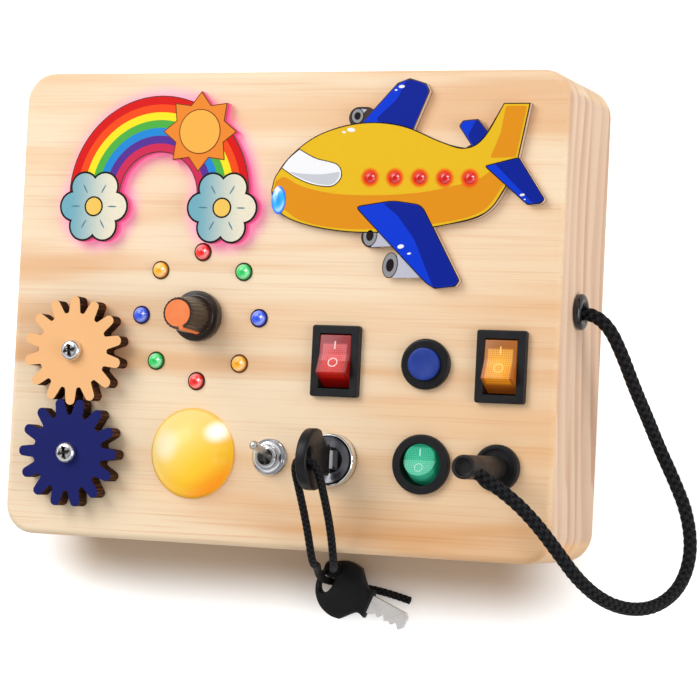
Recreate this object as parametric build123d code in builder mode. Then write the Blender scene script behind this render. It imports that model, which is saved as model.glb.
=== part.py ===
"""A toddler's wooden busy board: a hollowed pine block with switches, lamps, gears, a key lock
and a plug on a cord.

Millimetres. The board lies on its back: X runs along its width, Y up its face, and Z out of
the face. The origin is the centre of the underside.
"""

import math
import os

from build123d import *

os.makedirs("parts", exist_ok=True)

# ---- Wooden case -------------------------------------------------------------------------
BOARD_W = 176.0
BOARD_H = 142.0
BOARD_D = 42.0
CORNER_R = 9.0
FRONT_EDGE_R = 2.2
BACK_EDGE_R = 1.2
FRONT_T = 5.0
WALL_T = 9.0
POST = 10.0  # square corner posts left inside for the cover's screws

# ---- Back cover and battery box ----------------------------------------------------------
COVER_T = 3.0
COVER_LEDGE = 4.0  # how far the cover laps over the case wall
COVER_INSET = 0.5  # the cover lies this far inside the rim
COVER_GAP = 0.3
COVER_CORNER_R = 4.0
COVER_SCREW_D = 2.6
COVER_SCREW_HEAD_D = 5.2
COVER_SCREW_L = 14.0
CELL_D = 10.2
CELL_L = 43.6
CELL_NUB_D = 3.8
CELL_NUB_L = 0.9
CELLS = 3
CELL_PITCH = 11.0
CELL_CLEAR = 0.25
CONTACT_T = 0.5
CONTACT_SPACE = 2.4  # between a cell's end and the tray wall
TRAY_WALL = 1.5
TRAY_BOSS_L = 8.0  # solid end of the tray that takes the door's screw
TRAY_FLANGE = 3.0
TRAY_X = -6.0
TRAY_Y = 17.0
DOOR_T = 2.0
DOOR_GAP = 0.25
DOOR_SCREW_D = 2.4

# ---- Where things stand on the face: what isn't tied to an edge keeps its share of the board ----
JACK_FROM_EDGE = 17.0
LOW_FROM_EDGE = 27.0
LOWER_GEAR_FROM_EDGE = 25.3
COL_GEAR = -4 / 11 * BOARD_W
COL_KNOB = -25 / 176 * BOARD_W
COL_TOGGLE = 0.0
COL_LOCK = 5 / 44 * BOARD_W
COL_BUTTON = 3 / 11 * BOARD_W
COL_JACK = BOARD_W / 2 - JACK_FROM_EDGE
ROW_LOW = LOW_FROM_EDGE - BOARD_H / 2
ROW_DOME = -22 / 71 * BOARD_H
ROW_HIGH = -15.0
ROW_KNOB = -3.0
ROW_LOWER_GEAR = LOWER_GEAR_FROM_EDGE - BOARD_H / 2

# ---- Gears -------------------------------------------------------------------------------
GEAR_TEETH = 14
GEAR_TIP_D = 33.0
GEAR_ROOT_D = 23.0
GEAR_CENTRES = 31.0
GEAR_T = 5.2
GEAR_BORE_D = 4.2
TOOTH_ROOT_W = 3.4
TOOTH_TIP_R = 1.25
SPACER_D = 8.0
SPACER_T = 1.0
GEAR_SHANK_D = 4.0
GEAR_END_PLAY = 0.15
GEAR_HEAD_D = 6.4
GEAR_HEAD_H = 2.4
GEAR_NUT_AF = 7.0
GEAR_NUT_T = 3.0
PHILLIPS_L = 3.4
PHILLIPS_W = 0.9
PHILLIPS_DEEP = 1.2

# ---- Light-emitting diodes ---------------------------------------------------------------
LED_D = 5.0
LED_FLANGE_D = 5.8
LED_FLANGE_T = 1.0
LED_PROUD = 1.9
LED_HOLE_CLEAR = 0.15
LED_RING_R = 19.4
LED_BEZEL_W = 0.45
LED_BEZEL_T = 0.5
LEAD_W = 0.5
LEAD_PITCH = 2.54
RING_COLOURS = ("red", "green", "blue", "yellow")
PCB_T = 1.6
RING_PCB_OD = 52.0
RING_PCB_ID = 20.0
RING_SCREW_D = 2.0

# ---- Control knob ------------------------------------------------------------------------
POT_BODY_D = 17.0
POT_BODY_H = 9.0
BUSHING_D = 6.9
BUSHING_PROUD = 2.4
POT_HOLE_CLEAR = 0.15
SHAFT_D = 6.0
SHAFT_CLEAR = 0.05
POT_NUT_AF = 10.0
POT_NUT_T = 1.6
POT_WASHER_D = 11.4
POT_WASHER_T = 0.5
KNOB_LIFT = 0.5
SKIRT_D = 15.2
SKIRT_H = 3.0
KNOB_BASE_D = 11.2
KNOB_TOP_D = 9.5
KNOB_H = 15.8
KNOB_HOLLOW_D = 13.0
KNOB_HOLLOW_H = 2.2
CAP_D = 8.0
CAP_T = 1.2
CAP_PROUD = 0.15
POINTER_W = 1.3
POINTER_ANGLE = -72.0
POINTER_FOOT = 1.2  # the pointer stops this far above the skirt

# ---- Dome lamp ---------------------------------------------------------------------------
DOME_D = 27.0
DOME_H = 8.8
DOME_WALL = 1.6
DOME_LIP = 0.8
DOME_NECK_D = 23.0
DOME_HOLE_CLEAR = 0.15
DOME_PCB_D = 28.0
LAMP_CHIP = 5.0
LAMP_CHIP_T = 1.6

# ---- Rocker switches ---------------------------------------------------------------------
ROCKER_TILT = 15.0
BEZEL_W = 15.0
BEZEL_H = 21.0
BEZEL_T = 2.0
BEZEL_R = 0.8
SWITCH_BODY_W = 13.0
SWITCH_BODY_H = 19.2
SWITCH_DEPTH = 13.0
CUTOUT_CLEAR = 0.2
WELL_W = 10.0
WELL_H = 16.2
WELL_DEPTH = 11.4
ROCKER_SIDE_GAP = 0.15
ROCKER_END_GAP = 0.2
PIVOT_DEPTH = 4.3  # below the face
ROCKER_VALLEY = 7.0  # above the pivot
ROCKER_TIP_HALF = 5.8
ROCKER_RISE = 1.0
ROCKER_SKIRT = 3.0
ROCKER_SKIRT_HALF = 6.4
PIVOT_D = 2.0
PIVOT_CLEAR = 0.05
PIVOT_L = 1.2
TERMINAL_W = 4.8
TERMINAL_T = 0.8
TERMINAL_L = 8.0
TERMINAL_PITCH = 6.5

# ---- Round rocker switch -----------------------------------------------------------------
ROUND_TILT = 12.0
ROUND_BEZEL_D = 17.4
ROUND_BEZEL_T = 1.9
ROUND_BODY_D = 14.8
ROUND_WELL_D = 12.5
ROUND_ROCKER_D = 12.1
ROUND_TIP_D = 9.4
ROUND_VALLEY = 5.9
ROUND_RISE = 0.8
ROUND_SKIRT = 2.5
ROUND_SKIRT_D = 10.8
ROUND_PIVOT_DEPTH = 3.6
ROUND_PIVOT_D = 1.6
ROUND_PIVOT_L = 0.8

# ---- Push button -------------------------------------------------------------------------
BUTTON_BEZEL_D = 14.8
BUTTON_BEZEL_T = 2.0
BUTTON_THREAD_D = 11.8
BUTTON_DEPTH = 12.0
BUTTON_BORE_D = 9.8
BUTTON_CAP_CLEAR = 0.15
BUTTON_PROUD = 1.6
BUTTON_FLOOR_T = 2.0
BUTTON_CAP_H = 6.0
BUTTON_STEM_D = 2.6
BUTTON_STEM_CLEAR = 0.05
BUTTON_NUT_AF = 15.0
BUTTON_NUT_T = 2.5
SPRING_WIRE = 0.6
SPRING_D = 6.4
SPRING_TURNS = 3.5
THREAD_CLEAR = 0.05

# ---- Toggle switch -----------------------------------------------------------------------
TOGGLE_TILT = 13.0
TOGGLE_BODY_W = 8.0
TOGGLE_BODY_H = 13.0
TOGGLE_BODY_D = 9.6
TOGGLE_BUSH_D = 6.0
TOGGLE_BUSH_PROUD = 3.6
TOGGLE_PIVOT = -2.0  # from the face
TOGGLE_MOUTH_D = 4.9
TOGGLE_THROAT_D = 3.2
TOGGLE_BALL_D = 3.0
TOGGLE_PIN_D = 1.0
TOGGLE_PIN_L = 4.8
LEVER_L = 15.6
LEVER_ROOT_D = 2.0
LEVER_NECK_D = 2.2
LEVER_TIP_D = 2.9
TOGGLE_WASHER_D = 11.2
TOGGLE_WASHER_T = 0.8
TOGGLE_NUT_AF = 8.0
TOGGLE_NUT_T = 1.8

# ---- Key lock ----------------------------------------------------------------------------
LOCK_RING_D = 15.6
LOCK_RING_H = 3.6
LOCK_RIM_D = 14.6
LOCK_DISH_D = 13.4
LOCK_DISH_DEEP = 1.6
LOCK_BARREL_D = 11.9
LOCK_DEPTH = 20.0  # barrel below the face
ROTOR_D = 7.6
ROTOR_CLEAR = 0.05
ROTOR_TAIL_D = 4.0
ROTOR_TAIL_L = 4.0
LOCK_BACK_T = 1.5
LOCK_NUT_AF = 16.0
LOCK_NUT_T = 3.0

# ---- Keys --------------------------------------------------------------------------------
BOW_R = 8.5
BOW_EAR = (3.2, 8.6)
BOW_WAIST = (7.4, 4.3)
SHOULDER = (10.4, 4.6)
BOW_T = 3.4
BOW_HOLE_AT = 5.2
BOW_HOLE_LONG = 7.2
BOW_HOLE_WIDE = 4.2
BLADE_W = 5.6
BLADE_T = 1.8
BLADE_L = 12.6
BLADE_IN_BOW = 4.0
BLADE_CUTS = (2.6, 5.0, 7.4, 9.8)  # from the shoulder
CUT_DEPTHS = (1.0, 1.7, 0.8, 1.4)
CUT_W = 1.5
SLOT_CLEAR = 0.05
KEY_SHOWN = 3.9  # blade left outside the rotor
SPARE_KEY_AT = (10.3, -83.5)
SPARE_KEY_ANGLE = -23.0
SPARE_KEY_LIFT = 2.6  # it lies on the tail of its cord

# ---- Plug, socket and grommet ------------------------------------------------------------
JACK_FLANGE_D = 13.6
JACK_FLANGE_T = 2.0
JACK_FACE_D = 11.2
JACK_FACE_DEEP = 0.8
JACK_BODY_D = 10.9
JACK_DEPTH = 14.0
JACK_BORE_D = 6.0
JACK_BORE_DEEP = 11.5
JACK_PIN_D = 2.0
JACK_NUT_AF = 13.0
JACK_NUT_T = 2.5
BARREL_D = 5.5
BARREL_BORE_D = 2.5
BARREL_L = 9.5
PLUG_D = 6.8
PLUG_LIFT = 0.4
PLUG_L = 29.0
PLUG_RECESS_D = 4.8
PLUG_RECESS_DEEP = 1.6
GROMMET_Y = 2.3
GROMMET_Z = 26.5
GROMMET_D = 10.6
GROMMET_LIP_T = 1.3
GROMMET_NECK_D = 8.0
GROMMET_TAIL_D = 9.4
GROMMET_TAIL_T = 1.4
GROMMET_CLEAR = 0.05
STOP_KNOT_D = 8.0

# ---- Cords: centreline points chosen along their way --------------------------------------
CORD_D = 4.0
CORD_CLEAR = 0.15
CORD_ROUTE = (
    (72.4, -45.1, 66.4),
    (80.7, -50.9, 62.0),
    (87.4, -58.2, 56.8),
    (92.6, -66.3, 51.2),
    (96.9, -74.2, 44.3),
    (101.9, -80.0, 36.0),
    (107.4, -82.7, 26.5),
    (112.9, -81.8, 16.5),
    (117.3, -76.2, 7.5),
    (118.8, -66.3, 2.1),
    (117.1, -55.0, 2.05),
    (112.6, -45.1, 2.1),
    (108.7, -35.9, 5.8),
    (106.4, -27.6, 11.8),
    (105.0, -19.6, 18.2),
    (103.4, -11.2, 23.0),
    (100.2, -3.0, 25.8),
    (93.6, GROMMET_Y, GROMMET_Z),
    (85.2, GROMMET_Y, GROMMET_Z),
)
KEY_CORD_D = 2.4
KEY_CORD_ROUTE = (
    (31.5, -85.8, 1.3),
    (22.6, -83.4, 1.3),
    (12.6, -82.6, 1.3),
    (4.9, -81.6, 1.3),
    (5.0, -80.4, 9.6),
    (8.6, -77.0, 21.5),
    (13.6, -75.4, 34.0),
    (16.6, -74.6, 45.2),
    (16.4, -64.8, 49.6),
    (16.2, -55.2, 55.4),
    (16.2, -44.0, 63.6),
    (23.6, -44.0, 63.6),
    (23.6, -55.4, 55.2),
    (23.8, -65.2, 49.6),
    (23.4, -74.4, 45.4),
    (18.6, -75.6, 33.0),
    (13.4, -76.8, 20.5),
    (9.4, -77.2, 10.5),
)
KNOT_D = 5.6

# ---- Aeroplane plate: outlines of a toy aeroplane -----------------------------------------
PLANE_T = 2.2
NOSE = (-2.8, 35.0)
PLANE_BACK = ((-1.2, 40.0), (5.4, 47.6), (14.0, 52.6), (26.0, 55.2), (38.0, 54.2), (50.0, 49.6), (57.5, 47.8))
FIN = ((63.0, 51.0), (68.6, 60.8), (76.6, 60.8), (73.6, 44.4))
PLANE_BELLY = ((70.0, 36.0), (64.6, 29.0), (54.0, 25.6), (38.0, 23.2), (22.0, 22.9), (8.0, 25.0), (0.0, 28.6))
UPPER_WING = ((22.5, 52.5), (35.6, 66.8), (39.4, 68.2), (44.6, 66.6), (45.8, 64.4), (40.0, 50.0))
LOWER_WING = ((24.0, 30.5), (36.0, 32.4), (45.1, 31.2), (57.6, 9.4), (56.4, 7.6), (50.0, 6.8), (47.0, 8.6))
UPPER_TAIL = ((55.1, 54.2), (56.4, 55.8), (61.0, 56.2), (65.0, 51.6), (61.0, 46.0))
LOWER_TAIL = ((63.4, 42.6), (73.8, 45.2), (82.2, 33.0), (80.8, 31.8), (77.0, 31.4))
WING_CORNER_R = 0.9
ENGINES = ((30.8, 21.6), (38.2, 13.0), (25.2, 56.6))
ENGINE_L = 8.6
ENGINE_W = 6.4
NOSE_LAMP_AT = (-0.2, 32.1)
NOSE_LED_AT = (1.0, 32.1)
NOSE_LAMP_W = 4.6
NOSE_LAMP_H = 8.4
PLANE_LED_D = 3.9
PLANE_LED_PROUD = 1.0
PLANE_LED_ROW = 39.0
PLANE_LED_FIRST = 28.5
PLANE_LED_PITCH = 7.7
PLANE_LEDS = 5
PLANE_LED_SUNK = 2.0  # foot of the lens below the face
LAMP_CLEAR = 0.1

# ---- Rainbow plate -----------------------------------------------------------------------
DIFFUSER_T = 2.0
RAINBOW_T = 1.2
ARCH_AT = (-39.5, 33.3)
ARCH_R = 30.0
ARCH_BAND = 17.2
BLOSSOM_R = 11.6
PETAL_R = 4.8
PETALS = 6
STAR_AT = (-26.6, 52.4)
STAR_R = 12.2
STAR_INNER_R = 8.6
STAR_POINTS = 8
BACKLIGHT_AT = 21.4  # from the arch's centre
BACKLIGHT_SUNK = 0.2
BACKLIGHT_LEADS = 4.0

# ---- Control board -----------------------------------------------------------------------
CONTROL_W = 56.0
CONTROL_H = 26.0
CONTROL_AT = (38.0, 40.0)
CONTROL_DROP = 5.0  # between the front wall and the board
STANDOFF_D = 5.0
STANDOFF_INSET = 4.0
BOARD_SCREW_D = 2.0
BOARD_SCREW_HEAD_D = 3.8
BOARD_SCREW_HEAD_T = 1.4
BOARD_SCREW_BITE = 3.2
CHIP = (9.0, 6.0, 1.8)
CAPACITOR_D = 5.0
CAPACITOR_H = 7.0

FACE = BOARD_D
INNER = FACE - FRONT_T
COVER_TOP = COVER_INSET + COVER_T
INSIDE_W = BOARD_W - 2 * WALL_T
INSIDE_H = BOARD_H - 2 * WALL_T
ROW_UPPER_GEAR = ROW_LOWER_GEAR + GEAR_CENTRES
GEAR_BOTTOM = FACE + SPACER_T
GEAR_TOP = GEAR_BOTTOM + GEAR_T
GEAR_SPOTS = ((COL_GEAR, ROW_UPPER_GEAR), (COL_GEAR, ROW_LOWER_GEAR))
PLANE_LED_SPOTS = tuple(
    (PLANE_LED_FIRST + n * PLANE_LED_PITCH, PLANE_LED_ROW) for n in range(PLANE_LEDS)
)
SPOT_KNOB = (COL_KNOB, ROW_KNOB)
SPOT_DOME = (COL_KNOB, ROW_DOME)
SPOT_TOGGLE = (COL_TOGGLE, ROW_LOW)
SPOT_LOCK = (COL_LOCK, ROW_LOW)
SPOT_RED = (COL_LOCK, ROW_HIGH)
SPOT_AMBER = (COL_JACK, ROW_HIGH)
SPOT_BUTTON = (COL_BUTTON, ROW_HIGH)
SPOT_GREEN = (COL_BUTTON, ROW_LOW)
SPOT_JACK = (COL_JACK, ROW_LOW)
COVER_SCREWS = [
    (sx * (INSIDE_W - POST) / 2, sy * (INSIDE_H - POST) / 2) for sx in (-1, 1) for sy in (-1, 1)
]
CONTROL_SCREWS = [
    (
        CONTROL_AT[0] + sx * (CONTROL_W / 2 - STANDOFF_INSET),
        CONTROL_AT[1] + sy * (CONTROL_H / 2 - STANDOFF_INSET),
    )
    for sx in (-1, 1)
    for sy in (-1, 1)
]
RING_PCB_TOP = INNER - LED_FLANGE_T
RING_SCREW_R = (RING_PCB_OD + RING_PCB_ID) / 4 - 4.0
RING_SCREWS = [
    (
        COL_KNOB + RING_SCREW_R * math.cos(math.radians(a)),
        ROW_KNOB + RING_SCREW_R * math.sin(math.radians(a)),
    )
    for a in (30, 150, 270)
]
FEET = [(ARCH_AT[0] + s * (ARCH_R - ARCH_BAND / 2), ARCH_AT[1] - 3.8) for s in (-1, 1)]
BACKLIGHT_SPOTS = [
    (
        ARCH_AT[0] + BACKLIGHT_AT * math.cos(math.radians(a)),
        ARCH_AT[1] + BACKLIGHT_AT * math.sin(math.radians(a)),
    )
    for a in (45, 135)
] + [NOSE_LED_AT]


def keep(piece, name):
    """Label a finished piece and write its file."""
    piece.part.label = name
    export_step(piece.part, f"parts/{name}.step")


def disc(spots, diameter, bottom, height, mode=Mode.ADD):
    """Upright cylinders on one or more spots, inside the part being made."""
    with BuildSketch(Plane.XY.offset(bottom)) as rounds:
        with Locations(*spots):
            Circle(diameter / 2)
    extrude(rounds.sketch, amount=height, mode=mode)


def hexagon(spot, across_flats, bottom, height):
    """A hexagonal prism on a spot, inside the part being made."""
    with BuildSketch(Plane.XY.offset(bottom)) as six_sided:
        with Locations(spot):
            RegularPolygon(across_flats / 2, 6, major_radius=False)
    extrude(six_sided.sketch, amount=height)


def aeroplane_outline():
    """The plate's outline: fuselage with fin, wings, tailplanes and engines."""
    with BuildSketch() as outline:
        with BuildLine():
            back = Spline(NOSE, *PLANE_BACK)
            fin = Polyline(back @ 1, *FIN)
            Spline(fin @ 1, *PLANE_BELLY, NOSE)
        make_face()
        for wing in (UPPER_WING, LOWER_WING, UPPER_TAIL, LOWER_TAIL):
            with BuildLine():
                FilletPolyline(*wing, radius=WING_CORNER_R, close=True)
            make_face()
        with Locations(*ENGINES):
            SlotOverall(ENGINE_L, ENGINE_W)
    return outline.sketch


def rainbow_outline():
    """The plate's outline: an arch with a blossom at each foot and a star on its right side."""
    with BuildSketch() as outline:
        with Locations(ARCH_AT):
            Circle(ARCH_R)
            Circle(ARCH_R - ARCH_BAND, mode=Mode.SUBTRACT)
            Rectangle(3 * ARCH_R, 2 * ARCH_R, align=(Align.CENTER, Align.MAX), mode=Mode.SUBTRACT)
        for foot in FEET:
            with Locations(foot):
                Circle(BLOSSOM_R - PETAL_R)
                with PolarLocations(BLOSSOM_R - PETAL_R, PETALS):
                    Circle(PETAL_R)
        points = []
        for n in range(2 * STAR_POINTS):
            radius = STAR_R if n % 2 == 0 else STAR_INNER_R
            turn = math.radians(90 + 180 / STAR_POINTS * n)
            points.append((radius * math.cos(turn), radius * math.sin(turn)))
        with Locations(STAR_AT):
            Polygon(*points)
    return outline.sketch


def cap_radius(half_width, rise):
    """The radius of a spherical cap of that half width and rise."""
    return (half_width**2 + rise**2) / (2 * rise)


def cap_arc(half_width, rise):
    """Radius, start angle and sweep of the cap's section, from its edge up to its crown."""
    radius = cap_radius(half_width, rise)
    start = math.degrees(math.acos(half_width / radius))
    return radius, start, 90 - start


def key_outline():
    """A key's bow in its own plane: the blade points along +X from the bow's centre."""
    ear_x, ear_y = BOW_EAR
    with BuildSketch() as bow:
        with BuildLine():
            Polyline((ear_x, -ear_y), (ear_x, ear_y))
            ThreePointArc((ear_x, ear_y), (-BOW_R, 0), (ear_x, -ear_y))
        make_face()
        with BuildLine():
            top = Polyline((0, ear_y), (ear_x, ear_y))
            waist = ThreePointArc(top @ 1, BOW_WAIST, SHOULDER)
            end = Line(waist @ 1, (SHOULDER[0], -SHOULDER[1]))
            low = ThreePointArc(end @ 1, (BOW_WAIST[0], -BOW_WAIST[1]), (ear_x, -ear_y))
            Polyline(low @ 1, (0, -ear_y), (0, ear_y))
        make_face()
        with Locations((-BOW_HOLE_AT, 0)):
            Ellipse(BOW_HOLE_WIDE / 2, BOW_HOLE_LONG / 2, mode=Mode.SUBTRACT)
    return bow.sketch


def blade_outline():
    """A key's blade in the same plane, with the cuts along its lower edge."""
    root = SHOULDER[0] - BLADE_IN_BOW
    tip = SHOULDER[0] + BLADE_L
    with BuildSketch() as blade:
        with Locations(((root + tip) / 2, 0)):
            Rectangle(tip - root, BLADE_W)
        chamfer(blade.vertices().group_by(Axis.X)[-1], BLADE_W / 5)
        for along, depth in zip(BLADE_CUTS, CUT_DEPTHS):
            with Locations((SHOULDER[0] + along, -BLADE_W / 2)):
                Polygon(
                    (-CUT_W, -0.1),
                    (CUT_W, -0.1),
                    (CUT_W / 4, depth),
                    (-CUT_W / 4, depth),
                    mode=Mode.SUBTRACT,
                )
    return blade.sketch


def led(spots, diameter, foot, tip, flange_d, lead_foot):
    """Domed lenses on spots, each with a flange at its foot and two leads below."""
    with BuildPart() as lamps:
        disc(spots, flange_d, foot, LED_FLANGE_T)
        disc(spots, diameter, foot, tip - foot)
        tips = lamps.edges().filter_by(GeomType.CIRCLE).group_by(Axis.Z)[-1]
        fillet(tips, diameter / 2 - 0.3)
        pitch = min(LEAD_PITCH, diameter / 2)
        feet = [(x + side * pitch / 2, y) for x, y in spots for side in (-1, 1)]
        with BuildSketch(Plane.XY.offset(lead_foot)):
            with Locations(*feet):
                Rectangle(LEAD_W, LEAD_W)
        extrude(amount=foot - lead_foot)
    return lamps


def arc_radii(route, name):
    """The radius of each corner: 0.45 of the shorter run over the tangent of half the turn."""
    points = [Vector(*p) for p in route]
    runs = [b - a for a, b in zip(points, points[1:])]
    radii = []
    for before, after in zip(runs, runs[1:]):
        half_turn = math.radians(before.get_angle(after)) / 2
        radii.append(0.45 * min(before.length, after.length) / math.tan(half_turn))
    print(name, "radii", [round(r, 1) for r in radii])
    return radii


def cord(route, diameter, name):
    """A round cord along straight runs and tangent arcs."""
    with BuildPart() as tube:
        with BuildLine() as path:
            FilletPolyline(*route, radius=arc_radii(route, name))
        with BuildSketch(Plane(origin=path.line @ 0, z_dir=path.line % 0)):
            Circle(diameter / 2)
        sweep(path=path.line)
    section = math.pi * diameter**2 / 4
    length = path.wires()[0].length
    print(name, "length", round(length, 1), "from the volume", round(tube.part.volume / section, 1))
    return tube


# ---- Case --------------------------------------------------------------------------------
with BuildPart() as wooden_case:
    with BuildSketch():
        RectangleRounded(BOARD_W, BOARD_H, CORNER_R)
    extrude(amount=BOARD_D)
    fillet(wooden_case.faces().sort_by(Axis.Z)[-1].edges(), FRONT_EDGE_R)
    fillet(wooden_case.faces().sort_by(Axis.Z)[0].edges(), BACK_EDGE_R)
    with BuildSketch() as hollow:
        Rectangle(INSIDE_W, INSIDE_H)
        with Locations(*COVER_SCREWS):
            Rectangle(POST, POST, mode=Mode.SUBTRACT)
    extrude(amount=INNER, mode=Mode.SUBTRACT)
    with BuildSketch():
        RectangleRounded(INSIDE_W + 2 * COVER_LEDGE, INSIDE_H + 2 * COVER_LEDGE, COVER_CORNER_R)
    extrude(amount=COVER_TOP, mode=Mode.SUBTRACT)
    disc(COVER_SCREWS, COVER_SCREW_D, COVER_TOP, COVER_SCREW_L, Mode.SUBTRACT)
    led_hole = LED_D + 2 * LED_HOLE_CLEAR
    with BuildSketch(Plane.XY.offset(INNER)):
        with Locations(SPOT_KNOB):
            Circle(BUSHING_D / 2 + POT_HOLE_CLEAR)
            with PolarLocations(LED_RING_R, 2 * len(RING_COLOURS)):
                Circle(led_hole / 2)
        with Locations(SPOT_DOME):
            Circle(DOME_NECK_D / 2 + DOME_HOLE_CLEAR)
        with Locations(SPOT_TOGGLE):
            Circle(TOGGLE_BUSH_D / 2 + THREAD_CLEAR)
        with Locations(SPOT_LOCK):
            Circle(LOCK_BARREL_D / 2 + THREAD_CLEAR)
        with Locations(SPOT_RED, SPOT_AMBER):
            Rectangle(SWITCH_BODY_W + CUTOUT_CLEAR, SWITCH_BODY_H + CUTOUT_CLEAR)
        with Locations(SPOT_GREEN):
            Circle((ROUND_BODY_D + CUTOUT_CLEAR) / 2)
        with Locations(SPOT_BUTTON):
            Circle(BUTTON_THREAD_D / 2 + THREAD_CLEAR)
        with Locations(SPOT_JACK):
            Circle(JACK_BODY_D / 2 + THREAD_CLEAR)
        with Locations(*GEAR_SPOTS):
            Circle(GEAR_SHANK_D / 2 + THREAD_CLEAR)
        with Locations(*PLANE_LED_SPOTS):
            Circle(PLANE_LED_D / 2 + LAMP_CLEAR)
        with Locations(*BACKLIGHT_SPOTS):
            Circle(led_hole / 2)
    extrude(amount=FRONT_T, mode=Mode.SUBTRACT)
    disc(RING_SCREWS, RING_SCREW_D, INNER, BOARD_SCREW_BITE, Mode.SUBTRACT)
    disc(CONTROL_SCREWS, BOARD_SCREW_D, INNER, BOARD_SCREW_BITE, Mode.SUBTRACT)
    with BuildSketch(Plane.YZ.offset(BOARD_W / 2 - WALL_T)):
        with Locations((GROMMET_Y, GROMMET_Z)):
            Circle(GROMMET_NECK_D / 2 + GROMMET_CLEAR)
    extrude(amount=WALL_T, mode=Mode.SUBTRACT)
keep(wooden_case, "wooden_case")

# ---- Battery tray, cover, door, cells and contacts -----------------------------------------
tray_in_l = CELL_L + CELL_NUB_L + 2 * CONTACT_SPACE
tray_in_h = CELLS * CELL_PITCH + 2 * CELL_CLEAR
tray_l = tray_in_l + 2 * TRAY_WALL + TRAY_BOSS_L
tray_h = tray_in_h + 2 * TRAY_WALL
tray_in_x = TRAY_X - TRAY_BOSS_L / 2
door_top = COVER_INSET + DOOR_T
cell_z = door_top + CELL_CLEAR + CELL_D / 2
tray_top = cell_z + CELL_D / 2 + CELL_CLEAR + TRAY_WALL
door_screw_at = (TRAY_X + (tray_l - TRAY_BOSS_L) / 2, TRAY_Y)

with BuildPart() as back_cover:
    with BuildSketch(Plane.XY.offset(COVER_INSET)):
        RectangleRounded(
            INSIDE_W + 2 * (COVER_LEDGE - COVER_GAP),
            INSIDE_H + 2 * (COVER_LEDGE - COVER_GAP),
            COVER_CORNER_R - COVER_GAP,
        )
        with Locations((TRAY_X, TRAY_Y)):
            Rectangle(tray_l + 2 * DOOR_GAP, tray_h + 2 * DOOR_GAP, mode=Mode.SUBTRACT)
    extrude(amount=COVER_T)
    with Locations(*[(x, y, COVER_INSET) for x, y in COVER_SCREWS]):
        with Locations(Rotation(180, 0, 0)):
            CounterSinkHole(COVER_SCREW_D / 2 + THREAD_CLEAR, COVER_SCREW_HEAD_D / 2, COVER_T)
keep(back_cover, "back_cover")

with BuildPart() as cover_screws:  # one, at the origin
    head_h = (COVER_SCREW_HEAD_D - COVER_SCREW_D) / 2
    with BuildSketch(Plane.XZ):
        Polygon(
            (0, COVER_INSET),
            (COVER_SCREW_HEAD_D / 2 - THREAD_CLEAR, COVER_INSET),
            (COVER_SCREW_D / 2 - THREAD_CLEAR, COVER_INSET + head_h),
            (COVER_SCREW_D / 2 - THREAD_CLEAR, COVER_TOP + COVER_SCREW_L - 1),
            (0, COVER_TOP + COVER_SCREW_L),
        )
    revolve(axis=Axis.Z)

with BuildPart() as battery_tray:
    with BuildSketch(Plane.XY.offset(door_top)):
        with Locations((TRAY_X, TRAY_Y)):
            Rectangle(tray_l, tray_h)
    extrude(amount=tray_top - door_top)
    with BuildSketch(Plane.XY.offset(COVER_TOP)):
        with Locations((TRAY_X, TRAY_Y)):
            Rectangle(tray_l + 2 * TRAY_FLANGE, tray_h + 2 * TRAY_FLANGE)
    extrude(amount=TRAY_WALL)
    with BuildSketch(Plane.XY.offset(door_top)):
        with Locations((tray_in_x, TRAY_Y)):
            Rectangle(tray_in_l, tray_in_h)
    extrude(amount=tray_top - TRAY_WALL - door_top, mode=Mode.SUBTRACT)
    disc([door_screw_at], DOOR_SCREW_D, door_top, tray_top - door_top - TRAY_WALL, Mode.SUBTRACT)
keep(battery_tray, "battery_tray")

with BuildPart() as battery_door:
    with BuildSketch(Plane.XY.offset(COVER_INSET)):
        with Locations((TRAY_X, TRAY_Y)):
            Rectangle(tray_l, tray_h)
    extrude(amount=DOOR_T)
    disc([door_screw_at], DOOR_SCREW_D + 2 * THREAD_CLEAR, COVER_INSET, DOOR_T, Mode.SUBTRACT)
    disc([door_screw_at], 2 * DOOR_SCREW_D, COVER_INSET, DOOR_T / 2, Mode.SUBTRACT)
keep(battery_door, "battery_door")

with BuildPart() as back_screws:
    with Locations(*COVER_SCREWS):
        add(cover_screws.part)
    disc([door_screw_at], 2 * DOOR_SCREW_D - 2 * THREAD_CLEAR, COVER_INSET, DOOR_T / 2)
    door_screw_l = tray_top - TRAY_WALL - COVER_INSET - 1
    disc([door_screw_at], DOOR_SCREW_D - 2 * THREAD_CLEAR, COVER_INSET, door_screw_l)
    with BuildSketch(Plane.XY.offset(COVER_INSET)):
        with Locations(*COVER_SCREWS, door_screw_at):
            Rectangle(PHILLIPS_L, PHILLIPS_W)
            Rectangle(PHILLIPS_W, PHILLIPS_L)
    extrude(amount=PHILLIPS_DEEP / 2, mode=Mode.SUBTRACT)
keep(back_screws, "back_screws")

with BuildPart() as battery_cells:
    for n in range(CELLS):
        side = 1 if n % 2 == 0 else -1
        y = TRAY_Y + (n - (CELLS - 1) / 2) * CELL_PITCH
        foot = tray_in_x - side * (CELL_L + CELL_NUB_L) / 2
        with BuildSketch(Plane(origin=(foot, y, cell_z), z_dir=(side, 0, 0))):
            Circle(CELL_D / 2)
        extrude(amount=CELL_L)
        with BuildSketch(Plane(origin=(foot + side * CELL_L, y, cell_z), z_dir=(side, 0, 0))):
            Circle(CELL_NUB_D / 2)
        extrude(amount=CELL_NUB_L)
keep(battery_cells, "battery_cells")

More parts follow.
